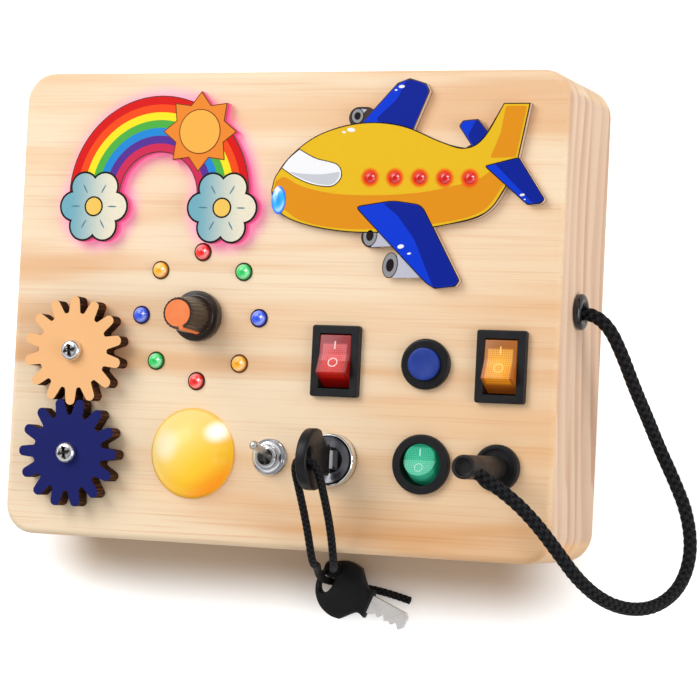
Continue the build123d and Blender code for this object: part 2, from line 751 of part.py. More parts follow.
with BuildPart() as battery_contacts:
    for end in (-1, 1):
        for n in range(CELLS):
            y = TRAY_Y + (n - (CELLS - 1) / 2) * CELL_PITCH
            wall = tray_in_x + end * tray_in_l / 2
            with BuildSketch(Plane(origin=(wall, y, cell_z), z_dir=(-end, 0, 0))):
                Rectangle(CELL_D * 0.8, CELL_D * 0.8)
            extrude(amount=CONTACT_T)
            with BuildSketch(Plane(origin=(wall - end * CONTACT_T, y, cell_z), z_dir=(-end, 0, 0))):
                Circle(CELL_D * 0.3)
            extrude(amount=CONTACT_SPACE - CONTACT_T, taper=20)
keep(battery_contacts, "battery_contacts")

# ---- Gears -------------------------------------------------------------------------------
for name, spot, first in (
    ("upper_gear", GEAR_SPOTS[0], -90),
    ("lower_gear", GEAR_SPOTS[1], 90 + 180 / GEAR_TEETH),
):
    with BuildPart() as gear:
        with BuildSketch(Plane.XY.offset(GEAR_BOTTOM)):
            with Locations(spot):
                Circle(GEAR_ROOT_D / 2)
                with PolarLocations(0, GEAR_TEETH, start_angle=first):
                    Polygon(
                        (GEAR_ROOT_D / 2 - 1, -TOOTH_ROOT_W / 2),
                        (GEAR_TIP_D / 2 - TOOTH_TIP_R, -TOOTH_TIP_R),
                        (GEAR_TIP_D / 2 - TOOTH_TIP_R, TOOTH_TIP_R),
                        (GEAR_ROOT_D / 2 - 1, TOOTH_ROOT_W / 2),
                    )
                with PolarLocations(GEAR_TIP_D / 2 - TOOTH_TIP_R, GEAR_TEETH, start_angle=first):
                    Circle(TOOTH_TIP_R)
                Circle(GEAR_BORE_D / 2, mode=Mode.SUBTRACT)
        extrude(amount=GEAR_T)
    keep(gear, name)

with BuildPart() as gear_spacers:
    disc(GEAR_SPOTS, SPACER_D, FACE, SPACER_T)
    disc(GEAR_SPOTS, GEAR_SHANK_D + 2 * THREAD_CLEAR, FACE, SPACER_T, Mode.SUBTRACT)
keep(gear_spacers, "gear_spacers")

with BuildPart() as gear_screws:
    seat = GEAR_TOP + GEAR_END_PLAY
    disc(GEAR_SPOTS, GEAR_SHANK_D, INNER - GEAR_NUT_T - 1, seat - INNER + GEAR_NUT_T + 1)
    disc(GEAR_SPOTS, GEAR_HEAD_D, seat, GEAR_HEAD_H)
    fillet(gear_screws.edges().filter_by(GeomType.CIRCLE).group_by(Axis.Z)[-1], GEAR_HEAD_H * 0.6)
    with BuildSketch(Plane.XY.offset(seat + GEAR_HEAD_H)):
        with Locations(*GEAR_SPOTS):
            Rectangle(PHILLIPS_L, PHILLIPS_W)
            Rectangle(PHILLIPS_W, PHILLIPS_L)
    extrude(amount=-PHILLIPS_DEEP, taper=15, mode=Mode.SUBTRACT)
keep(gear_screws, "gear_screws")

# ---- Ring of coloured lamps ----------------------------------------------------------------
ring_spots = [
    (
        COL_KNOB + LED_RING_R * math.cos(math.radians(90 - 45 * n)),
        ROW_KNOB + LED_RING_R * math.sin(math.radians(90 - 45 * n)),
    )
    for n in range(2 * len(RING_COLOURS))
]
lead_foot = RING_PCB_TOP - PCB_T - 0.8
for n, colour in enumerate(RING_COLOURS):
    pair = [ring_spots[n], ring_spots[n + len(RING_COLOURS)]]
    keep(led(pair, LED_D, RING_PCB_TOP, FACE + LED_PROUD, LED_FLANGE_D, lead_foot), f"{colour}_ring_leds")

with BuildPart() as led_bezels:
    disc(ring_spots, LED_D + 2 * LED_HOLE_CLEAR + 2 * LED_BEZEL_W, FACE, LED_BEZEL_T)
    disc(ring_spots, LED_D + 2 * LED_HOLE_CLEAR, FACE, LED_BEZEL_T, Mode.SUBTRACT)
keep(led_bezels, "led_bezels")

ring_lead_spots = [(x + side * LEAD_PITCH / 2, y) for x, y in ring_spots for side in (-1, 1)]
with BuildPart() as ring_circuit_board:
    disc([SPOT_KNOB], RING_PCB_OD, RING_PCB_TOP - PCB_T, PCB_T)
    disc([SPOT_KNOB], RING_PCB_ID, RING_PCB_TOP - PCB_T, PCB_T, Mode.SUBTRACT)
    disc(RING_SCREWS, RING_SCREW_D + 2 * THREAD_CLEAR, RING_PCB_TOP - PCB_T, PCB_T, Mode.SUBTRACT)
    with BuildSketch(Plane.XY.offset(RING_PCB_TOP)):
        with Locations(*ring_lead_spots):
            Rectangle(LEAD_W + 0.1, LEAD_W + 0.1)
    extrude(amount=-PCB_T, mode=Mode.SUBTRACT)
keep(ring_circuit_board, "ring_circuit_board")

# ---- Dome lamp ---------------------------------------------------------------------------
dome_seat = FACE + DOME_LIP
dome_rise = DOME_H - DOME_LIP
with BuildPart() as dome_lens:
    outer_r = DOME_D / 2
    inner_r = outer_r - DOME_WALL
    shoulder_r = DOME_NECK_D / 2 - DOME_WALL
    hollow_rise = dome_rise - DOME_WALL
    with BuildSketch(Plane.XZ):
        with BuildLine():
            Line((0, dome_seat + hollow_rise), (0, dome_seat + dome_rise))
            CenterArc((0, FACE + DOME_H - cap_radius(outer_r, dome_rise)), *cap_arc(outer_r, dome_rise))
            Polyline(
                (outer_r, dome_seat),
                (outer_r, FACE),
                (DOME_NECK_D / 2, FACE),
                (DOME_NECK_D / 2, INNER),
                (shoulder_r, INNER),
                (shoulder_r, dome_seat),
            )
            hollow_centre = dome_seat + hollow_rise - cap_radius(shoulder_r, hollow_rise)
            CenterArc((0, hollow_centre), *cap_arc(shoulder_r, hollow_rise))
        make_face()
    revolve(axis=Axis.Z)
    dome_shape = dome_lens.part
with BuildPart() as placed_dome:
    with Locations(SPOT_DOME):
        add(dome_shape)
keep(placed_dome, "dome_lens")

with BuildPart() as dome_lamp_board:
    disc([SPOT_DOME], DOME_PCB_D, INNER - PCB_T, PCB_T)
    with BuildSketch(Plane.XY.offset(INNER)):
        with Locations(SPOT_DOME):
            Rectangle(LAMP_CHIP, LAMP_CHIP)
    extrude(amount=LAMP_CHIP_T)
keep(dome_lamp_board, "dome_lamp_board")

# ---- Control knob ------------------------------------------------------------------------
pot_bottom = INNER - POT_BODY_H
knob_bottom = FACE + KNOB_LIFT
knob_top = FACE + KNOB_H
with BuildPart() as potentiometer:
    disc([SPOT_KNOB], POT_BODY_D, pot_bottom, POT_BODY_H)
    disc([SPOT_KNOB], BUSHING_D, INNER, FRONT_T + BUSHING_PROUD)
    disc([SPOT_KNOB], SHAFT_D + 2 * SHAFT_CLEAR, pot_bottom + 2, knob_top, Mode.SUBTRACT)
    with BuildSketch(Plane.XY.offset(pot_bottom + 1)):
        with Locations(*[(COL_KNOB + n * 5.0, ROW_KNOB - POT_BODY_D / 2) for n in (-1, 0, 1)]):
            Rectangle(1.5, 6)
    extrude(amount=0.8)
keep(potentiometer, "potentiometer")

shaft_top = knob_top - CAP_T - 1.0
with BuildPart() as pot_shaft:
    disc([SPOT_KNOB], SHAFT_D, pot_bottom + 2, shaft_top - pot_bottom - 2)
keep(pot_shaft, "pot_shaft")

skirt_top = knob_bottom + SKIRT_H
pointer_foot = skirt_top + POINTER_FOOT
with BuildPart() as cap_at_origin:
    with BuildSketch(Plane.XY.offset(knob_top - CAP_T)):
        Circle(CAP_D / 2)
        with Locations(((KNOB_TOP_D / 2) / 2, 0)):
            Rectangle(KNOB_TOP_D / 2, POINTER_W)
    extrude(amount=CAP_T + CAP_PROUD)
    side_slope = (KNOB_BASE_D - KNOB_TOP_D) / 2 / (knob_top - skirt_top)
    foot_r = KNOB_BASE_D / 2 - side_slope * POINTER_FOOT
    with BuildSketch(Plane.XZ):
        Polygon(
            (KNOB_TOP_D / 2 - 0.6, knob_top + CAP_PROUD),
            (KNOB_TOP_D / 2 + CAP_PROUD, knob_top + CAP_PROUD),
            (foot_r + CAP_PROUD, pointer_foot),
            (foot_r - 0.6, pointer_foot),
        )
    extrude(amount=POINTER_W / 2, both=True)
with BuildPart() as knob_cap:
    with Locations(Location((COL_KNOB, ROW_KNOB, 0), (0, 0, POINTER_ANGLE))):
        add(cap_at_origin.part)
keep(knob_cap, "knob_cap")

with BuildPart() as knob:
    disc([SPOT_KNOB], SKIRT_D, knob_bottom, SKIRT_H)
    fillet(knob.edges().filter_by(GeomType.CIRCLE).group_by(Axis.Z)[-1], SKIRT_H / 4)
    with BuildSketch(Plane.XY.offset(skirt_top)):
        with Locations(SPOT_KNOB):
            Circle(KNOB_BASE_D / 2)
    with BuildSketch(Plane.XY.offset(knob_top)):
        with Locations(SPOT_KNOB):
            Circle(KNOB_TOP_D / 2)
    loft()
    disc([SPOT_KNOB], SHAFT_D, knob_bottom, shaft_top - knob_bottom, Mode.SUBTRACT)
    disc([SPOT_KNOB], KNOB_HOLLOW_D, knob_bottom, KNOB_HOLLOW_H, Mode.SUBTRACT)
    add(knob_cap.part, mode=Mode.SUBTRACT)
keep(knob, "knob")


# ---- Rocker switches ---------------------------------------------------------------------
def rocker_plane(spot, depth, tilt):
    """The rocker's own plane: its local X runs along the face, tipped so the low end rises."""
    angle = math.radians(tilt)
    return Plane(
        origin=(spot[0], spot[1], FACE - depth),
        x_dir=(0, math.cos(angle), -math.sin(angle)),
        z_dir=(1, 0, 0),
    )


pivot_z = FACE - PIVOT_DEPTH
for colour, spot in (("red", SPOT_RED), ("amber", SPOT_AMBER)):
    with BuildPart() as frame:
        with BuildSketch(Plane.XY.offset(FACE)):
            with Locations(spot):
                RectangleRounded(BEZEL_W, BEZEL_H, BEZEL_R)
        extrude(amount=BEZEL_T)
        fillet(frame.faces().sort_by(Axis.Z)[-1].edges(), BEZEL_T / 5)
        with BuildSketch(Plane.XY.offset(FACE)):
            with Locations(spot):
                Rectangle(SWITCH_BODY_W, SWITCH_BODY_H)
        extrude(amount=-SWITCH_DEPTH)
        with BuildSketch(Plane.XY.offset(FACE + BEZEL_T)):
            with Locations(spot):
                Rectangle(WELL_W, WELL_H)
        extrude(amount=-WELL_DEPTH, mode=Mode.SUBTRACT)
        with BuildSketch(Plane.YZ.offset(spot[0])):
            with Locations((spot[1], pivot_z)):
                Circle(PIVOT_D / 2 + PIVOT_CLEAR)
        extrude(amount=SWITCH_BODY_W / 2, both=True, mode=Mode.SUBTRACT)
    keep(frame, f"{colour}_switch_frame")

    with BuildPart() as rocker:
        base_half = WELL_H / 2 - ROCKER_END_GAP
        with BuildSketch(rocker_plane(spot, PIVOT_DEPTH, ROCKER_TILT)):
            Polygon(
                (-ROCKER_TIP_HALF, ROCKER_VALLEY + ROCKER_RISE),
                (-base_half, 0),
                (-ROCKER_SKIRT_HALF, -ROCKER_SKIRT),
                (ROCKER_SKIRT_HALF, -ROCKER_SKIRT),
                (base_half, 0),
                (ROCKER_TIP_HALF, ROCKER_VALLEY + ROCKER_RISE),
                (0, ROCKER_VALLEY),
            )
        extrude(amount=WELL_W / 2 - ROCKER_SIDE_GAP, both=True)
        with BuildSketch(Plane.YZ.offset(spot[0])):
            with Locations((spot[1], pivot_z)):
                Circle(PIVOT_D / 2)
        extrude(amount=WELL_W / 2 + PIVOT_L, both=True)
    keep(rocker, f"{colour}_rocker")

round_pivot_z = FACE - ROUND_PIVOT_DEPTH
with BuildPart() as round_frame:
    disc([SPOT_GREEN], ROUND_BEZEL_D, FACE, ROUND_BEZEL_T)
    fillet(round_frame.edges().filter_by(GeomType.CIRCLE).group_by(Axis.Z)[-1], ROUND_BEZEL_T / 4)
    disc([SPOT_GREEN], ROUND_BODY_D, FACE - SWITCH_DEPTH, SWITCH_DEPTH)
    well_floor = FACE + ROUND_BEZEL_T - WELL_DEPTH
    disc([SPOT_GREEN], ROUND_WELL_D, well_floor, WELL_DEPTH, Mode.SUBTRACT)
    with BuildSketch(Plane.YZ.offset(SPOT_GREEN[0])):
        with Locations((SPOT_GREEN[1], round_pivot_z)):
            Circle(ROUND_PIVOT_D / 2 + PIVOT_CLEAR)
    extrude(amount=ROUND_BODY_D / 2, both=True, mode=Mode.SUBTRACT)
keep(round_frame, "green_switch_frame")

with BuildPart() as round_rocker:
    own = rocker_plane(SPOT_GREEN, ROUND_PIVOT_DEPTH, ROUND_TILT)
    tip_z = ROUND_VALLEY + ROUND_RISE
    with BuildSketch(own):
        Polygon(
            (0, -ROUND_SKIRT),
            (ROUND_SKIRT_D / 2, -ROUND_SKIRT),
            (ROUND_ROCKER_D / 2, 0),
            (ROUND_TIP_D / 2, tip_z),
            (0, tip_z),
        )
    revolve(axis=Axis((own.origin.X, own.origin.Y, own.origin.Z), own.y_dir))
    with BuildSketch(own):
        reach = ROUND_ROCKER_D
        rise = ROUND_RISE * reach / (ROUND_TIP_D / 2)
        Polygon((0, ROUND_VALLEY), (reach, ROUND_VALLEY + rise), (-reach, ROUND_VALLEY + rise))
    extrude(amount=ROUND_ROCKER_D, both=True, mode=Mode.SUBTRACT)
    with BuildSketch(Plane.YZ.offset(SPOT_GREEN[0])):
        with Locations((SPOT_GREEN[1], round_pivot_z)):
            Circle(ROUND_PIVOT_D / 2)
    extrude(amount=ROUND_WELL_D / 2 + ROUND_PIVOT_L, both=True)
keep(round_rocker, "green_rocker")

with BuildPart() as switch_terminals:
    for spot in (SPOT_RED, SPOT_AMBER, SPOT_GREEN):
        pitch = min(TERMINAL_PITCH, ROUND_BODY_D / 3)
        with BuildSketch(Plane.XY.offset(FACE - SWITCH_DEPTH)):
            with Locations(*[(spot[0], spot[1] + n * pitch) for n in (-1, 0, 1)]):
                Rectangle(TERMINAL_W, TERMINAL_T)
        extrude(amount=-TERMINAL_L)
keep(switch_terminals, "switch_terminals")

# ---- Push button -------------------------------------------------------------------------
button_floor = FACE - BUTTON_DEPTH + BUTTON_FLOOR_T
button_top = FACE + BUTTON_BEZEL_T + BUTTON_PROUD
cap_foot = button_top - BUTTON_CAP_H
with BuildPart() as button_housing:
    disc([SPOT_BUTTON], BUTTON_BEZEL_D, FACE, BUTTON_BEZEL_T)
    fillet(button_housing.edges().filter_by(GeomType.CIRCLE).group_by(Axis.Z)[-1], BUTTON_BEZEL_T / 3)
    disc([SPOT_BUTTON], BUTTON_THREAD_D, FACE - BUTTON_DEPTH, BUTTON_DEPTH)
    disc([SPOT_BUTTON], BUTTON_BORE_D, button_floor, BUTTON_DEPTH + BUTTON_BEZEL_T, Mode.SUBTRACT)
    stem_hole = BUTTON_STEM_D + 2 * BUTTON_STEM_CLEAR
    disc([SPOT_BUTTON], stem_hole, FACE - BUTTON_DEPTH, BUTTON_FLOOR_T, Mode.SUBTRACT)
keep(button_housing, "button_housing")

with BuildPart() as button_cap:
    cap_d = BUTTON_BORE_D - 2 * BUTTON_CAP_CLEAR
    disc([SPOT_BUTTON], cap_d, cap_foot, BUTTON_CAP_H)
    fillet(button_cap.edges().filter_by(GeomType.CIRCLE).group_by(Axis.Z)[-1], 0.6)
    stem_foot = button_floor - BUTTON_FLOOR_T / 2
    disc([SPOT_BUTTON], BUTTON_STEM_D, stem_foot, cap_foot - stem_foot)
keep(button_cap, "blue_button")

spring_foot = button_floor + SPRING_WIRE / 2
spring_h = cap_foot - button_floor - SPRING_WIRE
with BuildPart() as spring_at_origin:
    with BuildLine() as coil:
        Helix(spring_h / SPRING_TURNS, spring_h, (SPRING_D - SPRING_WIRE) / 2)
    with BuildSketch(Plane(origin=coil.line @ 0, z_dir=coil.line % 0)):
        Circle(SPRING_WIRE / 2 - 0.02)
    sweep(path=coil.line, is_frenet=True)
with BuildPart() as button_spring:
    with Locations((SPOT_BUTTON[0], SPOT_BUTTON[1], spring_foot)):
        add(spring_at_origin.part)
keep(button_spring, "button_spring")

# ---- Toggle switch -----------------------------------------------------------------------
toggle_pivot_z = FACE + TOGGLE_PIVOT
bush_top = FACE + TOGGLE_BUSH_PROUD
with BuildPart() as toggle_switch:
    with BuildSketch(Plane.XY.offset(INNER - TOGGLE_BODY_D)):
        with Locations(SPOT_TOGGLE):
            Rectangle(TOGGLE_BODY_W, TOGGLE_BODY_H)
    extrude(amount=TOGGLE_BODY_D)
    disc([SPOT_TOGGLE], TOGGLE_BUSH_D, INNER, bush_top - INNER)
    with BuildSketch(Plane.XY.offset(toggle_pivot_z)):
        with Locations(SPOT_TOGGLE):
            Circle(TOGGLE_THROAT_D / 2)
    with BuildSketch(Plane.XY.offset(bush_top)):
        with Locations(SPOT_TOGGLE):
            Circle(TOGGLE_MOUTH_D / 2)
    loft(mode=Mode.SUBTRACT)
    disc([SPOT_TOGGLE], TOGGLE_THROAT_D, toggle_pivot_z - TOGGLE_BALL_D, TOGGLE_BALL_D, Mode.SUBTRACT)
    with BuildSketch(Plane.YZ.offset(SPOT_TOGGLE[0])):
        with Locations((SPOT_TOGGLE[1], toggle_pivot_z)):
            Circle(TOGGLE_PIN_D / 2 + PIVOT_CLEAR)
    extrude(amount=TOGGLE_PIN_L / 2 + PIVOT_CLEAR, both=True, mode=Mode.SUBTRACT)
    with BuildSketch(Plane.XY.offset(INNER - TOGGLE_BODY_D)):
        with Locations(*[(SPOT_TOGGLE[0], SPOT_TOGGLE[1] + n * 4.7) for n in (-1, 0, 1)]):
            Rectangle(2.0, 0.8)
    extrude(amount=-4.0)
keep(toggle_switch, "toggle_switch")

with BuildPart() as lever_at_origin:
    with BuildSketch(Plane.XZ):
        Polygon(
            (0, 0),
            (LEVER_ROOT_D / 2, 0),
            (LEVER_NECK_D / 2, LEVER_L * 0.55),
            (LEVER_TIP_D / 2 * 0.9, LEVER_L - LEVER_TIP_D / 2),
            (0, LEVER_L - LEVER_TIP_D / 2),
        )
    revolve(axis=Axis.Z)
    with Locations((0, 0, LEVER_L - LEVER_TIP_D / 2)):
        Sphere(LEVER_TIP_D / 2)
    Sphere(TOGGLE_BALL_D / 2)
    with BuildSketch(Plane.YZ):
        Circle(TOGGLE_PIN_D / 2)
    extrude(amount=TOGGLE_PIN_L / 2, both=True)
with BuildPart() as toggle_lever:
    with Locations(Location((*SPOT_TOGGLE, toggle_pivot_z), (-TOGGLE_TILT, 0, 0))):
        add(lever_at_origin.part)
keep(toggle_lever, "toggle_lever")

with BuildPart() as toggle_nut:
    disc([SPOT_TOGGLE], TOGGLE_WASHER_D, FACE, TOGGLE_WASHER_T)
    hexagon(SPOT_TOGGLE, TOGGLE_NUT_AF, FACE + TOGGLE_WASHER_T, TOGGLE_NUT_T)
    height = TOGGLE_WASHER_T + TOGGLE_NUT_T
    disc([SPOT_TOGGLE], TOGGLE_BUSH_D + 2 * THREAD_CLEAR, FACE, height, Mode.SUBTRACT)
keep(toggle_nut, "toggle_nut")

# ---- Key lock ----------------------------------------------------------------------------
lock_top = FACE + LOCK_RING_H
rotor_top = lock_top - LOCK_DISH_DEEP
lock_bottom = FACE - LOCK_DEPTH
with BuildPart() as lock_at_origin:
    with BuildSketch(Plane.XZ):
        Polygon(
            (ROTOR_D / 2 + ROTOR_CLEAR, rotor_top),
            (LOCK_DISH_D / 2, lock_top),
            (LOCK_RIM_D / 2, lock_top),
            (LOCK_RING_D / 2, FACE + 1.0),
            (LOCK_RING_D / 2, FACE),
            (LOCK_BARREL_D / 2, FACE),
            (LOCK_BARREL_D / 2, lock_bottom),
            (ROTOR_TAIL_D / 2 + ROTOR_CLEAR, lock_bottom),
            (ROTOR_TAIL_D / 2 + ROTOR_CLEAR, lock_bottom + LOCK_BACK_T),
            (ROTOR_D / 2 + ROTOR_CLEAR, lock_bottom + LOCK_BACK_T),
        )
    revolve(axis=Axis.Z)
with BuildPart() as lock_body:
    with Locations(SPOT_LOCK):
        add(lock_at_origin.part)
keep(lock_body, "lock_body")

key_bow_z = rotor_top + KEY_SHOWN + SHOULDER[0]
key_plane = Plane(origin=(*SPOT_LOCK, key_bow_z), x_dir=(0, 0, -1), z_dir=(1, 0, 0))
rotor_foot = lock_bottom + LOCK_BACK_T
blade_tip_z = key_bow_z - SHOULDER[0] - BLADE_L
with BuildPart() as lock_rotor:
    disc([SPOT_LOCK], ROTOR_D, rotor_foot, rotor_top - rotor_foot)
    disc([SPOT_LOCK], ROTOR_TAIL_D, rotor_foot - ROTOR_TAIL_L, ROTOR_TAIL_L)
    with BuildSketch(Plane.XY.offset(rotor_top)):
        with Locations(SPOT_LOCK):
            Rectangle(BLADE_T + 2 * SLOT_CLEAR, BLADE_W + 2 * SLOT_CLEAR)
    extrude(amount=blade_tip_z - SLOT_CLEAR - rotor_top, mode=Mode.SUBTRACT)
keep(lock_rotor, "lock_rotor")

# ---- Keys: each has a moulded bow around a cut steel blade ----------------------------------
spare_plane = Plane(
    origin=(*SPARE_KEY_AT, SPARE_KEY_LIFT + BOW_T / 2),
    x_dir=(math.cos(math.radians(SPARE_KEY_ANGLE)), math.sin(math.radians(SPARE_KEY_ANGLE)), 0),
    z_dir=(0, 0, 1),
)
for prefix, plane in (("lock_key", key_plane), ("spare_key", spare_plane)):
    with BuildPart() as blade:
        with BuildSketch(plane):
            add(blade_outline())
        extrude(amount=BLADE_T / 2, both=True)
    keep(blade, f"{prefix}_blade")
    with BuildPart() as bow:
        with BuildSketch(plane):
            add(key_outline())
        extrude(amount=BOW_T / 2, both=True)
        add(blade.part, mode=Mode.SUBTRACT)
    keep(bow, f"{prefix}_bow")

# ---- Socket and plug ---------------------------------------------------------------------
jack_top = FACE + JACK_FLANGE_T
jack_face = jack_top - JACK_FACE_DEEP
with BuildPart() as jack_socket:
    disc([SPOT_JACK], JACK_FLANGE_D, FACE, JACK_FLANGE_T)
    fillet(jack_socket.edges().filter_by(GeomType.CIRCLE).group_by(Axis.Z)[-1], 0.5)
    disc([SPOT_JACK], JACK_BODY_D, FACE - JACK_DEPTH, JACK_DEPTH)
    disc([SPOT_JACK], JACK_FACE_D, jack_face, JACK_FACE_DEEP, Mode.SUBTRACT)
    disc([SPOT_JACK], JACK_BORE_D, jack_face - JACK_BORE_DEEP, JACK_BORE_DEEP, Mode.SUBTRACT)
    disc([SPOT_JACK], JACK_PIN_D, jack_face - JACK_BORE_DEEP, JACK_BORE_DEEP - 2)
keep(jack_socket, "jack_socket")

plug_foot = jack_face + PLUG_LIFT
plug_top = plug_foot + PLUG_L
with BuildPart() as plug_barrel:
    disc([SPOT_JACK], BARREL_D, plug_foot - BARREL_L, BARREL_L)
    disc([SPOT_JACK], BARREL_BORE_D, plug_foot - BARREL_L, BARREL_L, Mode.SUBTRACT)
keep(plug_barrel, "plug_barrel")

exit_run = Vector(*CORD_ROUTE[1]) - Vector(*CORD_ROUTE[0])
with BuildPart() as plug_handle:
    disc([SPOT_JACK], PLUG_D, plug_foot, PLUG_L)
    fillet(plug_handle.edges().filter_by(GeomType.CIRCLE).group_by(Axis.Z)[-1], 0.4)
    disc([SPOT_JACK], PLUG_RECESS_D, plug_top - PLUG_RECESS_DEEP, PLUG_RECESS_DEEP, Mode.SUBTRACT)
    with BuildSketch(Plane(origin=CORD_ROUTE[0], z_dir=exit_run)):
        Circle(CORD_D / 2 + CORD_CLEAR)
    extrude(amount=PLUG_D, mode=Mode.SUBTRACT)
keep(plug_handle, "plug_handle")

# ---- Hexagon nuts that hold the panel's parts --------------------------------------------------
PANEL_NUTS = (
    (GEAR_SPOTS[0], GEAR_NUT_AF, GEAR_SHANK_D, INNER, -GEAR_NUT_T),
    (GEAR_SPOTS[1], GEAR_NUT_AF, GEAR_SHANK_D, INNER, -GEAR_NUT_T),
    (SPOT_BUTTON, BUTTON_NUT_AF, BUTTON_THREAD_D, INNER, -BUTTON_NUT_T),
    (SPOT_LOCK, LOCK_NUT_AF, LOCK_BARREL_D, INNER, -LOCK_NUT_T),
    (SPOT_JACK, JACK_NUT_AF, JACK_BODY_D, INNER, -JACK_NUT_T),
    (SPOT_KNOB, POT_NUT_AF, BUSHING_D, FACE + POT_WASHER_T, POT_NUT_T),
)
with BuildPart() as panel_nuts:
    for spot, across_flats, thread, seat, height in PANEL_NUTS:
        hexagon(spot, across_flats, seat, height)
        disc([spot], thread + 2 * THREAD_CLEAR, seat, height, Mode.SUBTRACT)
    disc([SPOT_KNOB], POT_WASHER_D, FACE, POT_WASHER_T)
    disc([SPOT_KNOB], BUSHING_D + 2 * THREAD_CLEAR, FACE, POT_WASHER_T, Mode.SUBTRACT)
keep(panel_nuts, "panel_nuts")

# ---- Cord, its grommet and the knot inside the case -----------------------------------------
outside = BOARD_W / 2
inside = outside - WALL_T
with BuildPart() as grommet_at_origin:
    bore_r = CORD_D / 2 + CORD_CLEAR
    with BuildSketch(Plane.XZ):
        Polygon(
            (bore_r, inside - GROMMET_TAIL_T),
            (GROMMET_TAIL_D / 2, inside - GROMMET_TAIL_T),
            (GROMMET_TAIL_D / 2, inside),
            (GROMMET_NECK_D / 2, inside),
            (GROMMET_NECK_D / 2, outside),
            (GROMMET_D / 2, outside),
            (GROMMET_D / 2 - 0.4, outside + GROMMET_LIP_T),
            (bore_r, outside + GROMMET_LIP_T),
        )
    revolve(axis=Axis.Z)
with BuildPart() as side_grommet:
    with Locations(Location((0, GROMMET_Y, GROMMET_Z), (0, 90, 0))):
        add(grommet_at_origin.part)
keep(side_grommet, "side_grommet")

keep(cord(CORD_ROUTE, CORD_D, "plug cord"), "plug_cord")

with BuildPart() as cord_stop_knot:
    with Locations((inside - GROMMET_TAIL_T - STOP_KNOT_D / 2 - 0.6, GROMMET_Y, GROMMET_Z)):
        Sphere(STOP_KNOT_D / 2)
    with BuildSketch(Plane.YZ.offset(CORD_ROUTE[-1][0])):
        with Locations((GROMMET_Y, GROMMET_Z)):
            Circle(CORD_D / 2)
    extrude(amount=inside - GROMMET_TAIL_T - STOP_KNOT_D / 2 - CORD_ROUTE[-1][0])
keep(cord_stop_knot, "cord_stop_knot")

key_cord = cord(KEY_CORD_ROUTE, KEY_CORD_D, "key cord")
keep(key_cord, "key_cord")

with BuildPart() as key_cord_knot:
    with Locations(KEY_CORD_ROUTE[-1]):
        Sphere(KNOT_D / 2)
    add(key_cord.part, mode=Mode.SUBTRACT)
keep(key_cord_knot, "key_cord_knot")

# ---- Aeroplane plate and its lamps -----------------------------------------------------------
aeroplane = aeroplane_outline()
with BuildPart() as aeroplane_plate:
    with BuildSketch(Plane.XY.offset(FACE)):
        add(aeroplane)
        with Locations(*PLANE_LED_SPOTS):
            Circle(PLANE_LED_D / 2 + LAMP_CLEAR, mode=Mode.SUBTRACT)
        with Locations(NOSE_LAMP_AT):
            Ellipse(NOSE_LAMP_W / 2 + LAMP_CLEAR, NOSE_LAMP_H / 2 + LAMP_CLEAR, mode=Mode.SUBTRACT)
    extrude(amount=PLANE_T)
keep(aeroplane_plate, "aeroplane_plate")

with BuildPart() as nose_lens:
    with BuildSketch(Plane.XY.offset(FACE)):
        with Locations(NOSE_LAMP_AT):
            Ellipse(NOSE_LAMP_W / 2, NOSE_LAMP_H / 2)
    extrude(amount=PLANE_T)
keep(nose_lens, "nose_lens")

control_top = INNER - CONTROL_DROP
plane_led_foot = FACE - PLANE_LED_SUNK
keep(
    led(
        PLANE_LED_SPOTS,
        PLANE_LED_D,
        plane_led_foot,
        FACE + PLANE_T + PLANE_LED_PROUD,
        PLANE_LED_D,
        control_top - PCB_T - 0.8,
    ),
    "aeroplane_leds",
)

# ---- Rainbow plate, its glowing base and the lamps under it -----------------------------------
rainbow = rainbow_outline()
with BuildPart() as glow_base:
    with BuildSketch(Plane.XY.offset(FACE)):
        add(rainbow)
    extrude(amount=DIFFUSER_T)
keep(glow_base, "rainbow_glow_base")

with BuildPart() as rainbow_plate:
    with BuildSketch(Plane.XY.offset(FACE + DIFFUSER_T)):
        add(rainbow)
    extrude(amount=RAINBOW_T)
keep(rainbow_plate, "rainbow_plate")

keep(
    led(
        BACKLIGHT_SPOTS,
        LED_D,
        INNER - LED_FLANGE_T,
        FACE - BACKLIGHT_SUNK,
        LED_FLANGE_D,
        INNER - BACKLIGHT_LEADS,
    ),
    "backlight_leds",
)

# ---- Control board ---------------------------------------------------------------------------
plane_lead_spots = [
    (x + side * min(LEAD_PITCH, PLANE_LED_D / 2) / 2, y) for x, y in PLANE_LED_SPOTS for side in (-1, 1)
]
with BuildPart() as control_board:
    with BuildSketch(Plane.XY.offset(control_top - PCB_T)):
        with Locations(CONTROL_AT):
            Rectangle(CONTROL_W, CONTROL_H)
        with Locations(*CONTROL_SCREWS):
            Circle(BOARD_SCREW_D / 2 + THREAD_CLEAR, mode=Mode.SUBTRACT)
        with Locations(*plane_lead_spots):
            Rectangle(LEAD_W + 0.1, LEAD_W + 0.1, mode=Mode.SUBTRACT)
    extrude(amount=PCB_T)
    with BuildSketch(Plane.XY.offset(control_top - PCB_T)):
        with Locations((CONTROL_AT[0], CONTROL_AT[1] - 7), (CONTROL_AT[0] + 14, CONTROL_AT[1] - 6)):
            Rectangle(CHIP[0], CHIP[1])
    extrude(amount=-CHIP[2])
    with BuildSketch(Plane.XY.offset(control_top - PCB_T)):
        with Locations((CONTROL_AT[0] - 16, CONTROL_AT[1] - 7), (CONTROL_AT[0] - 12, CONTROL_AT[1] + 8)):
            Circle(CAPACITOR_D / 2)
    extrude(amount=-CAPACITOR_H)
keep(control_board, "control_board")

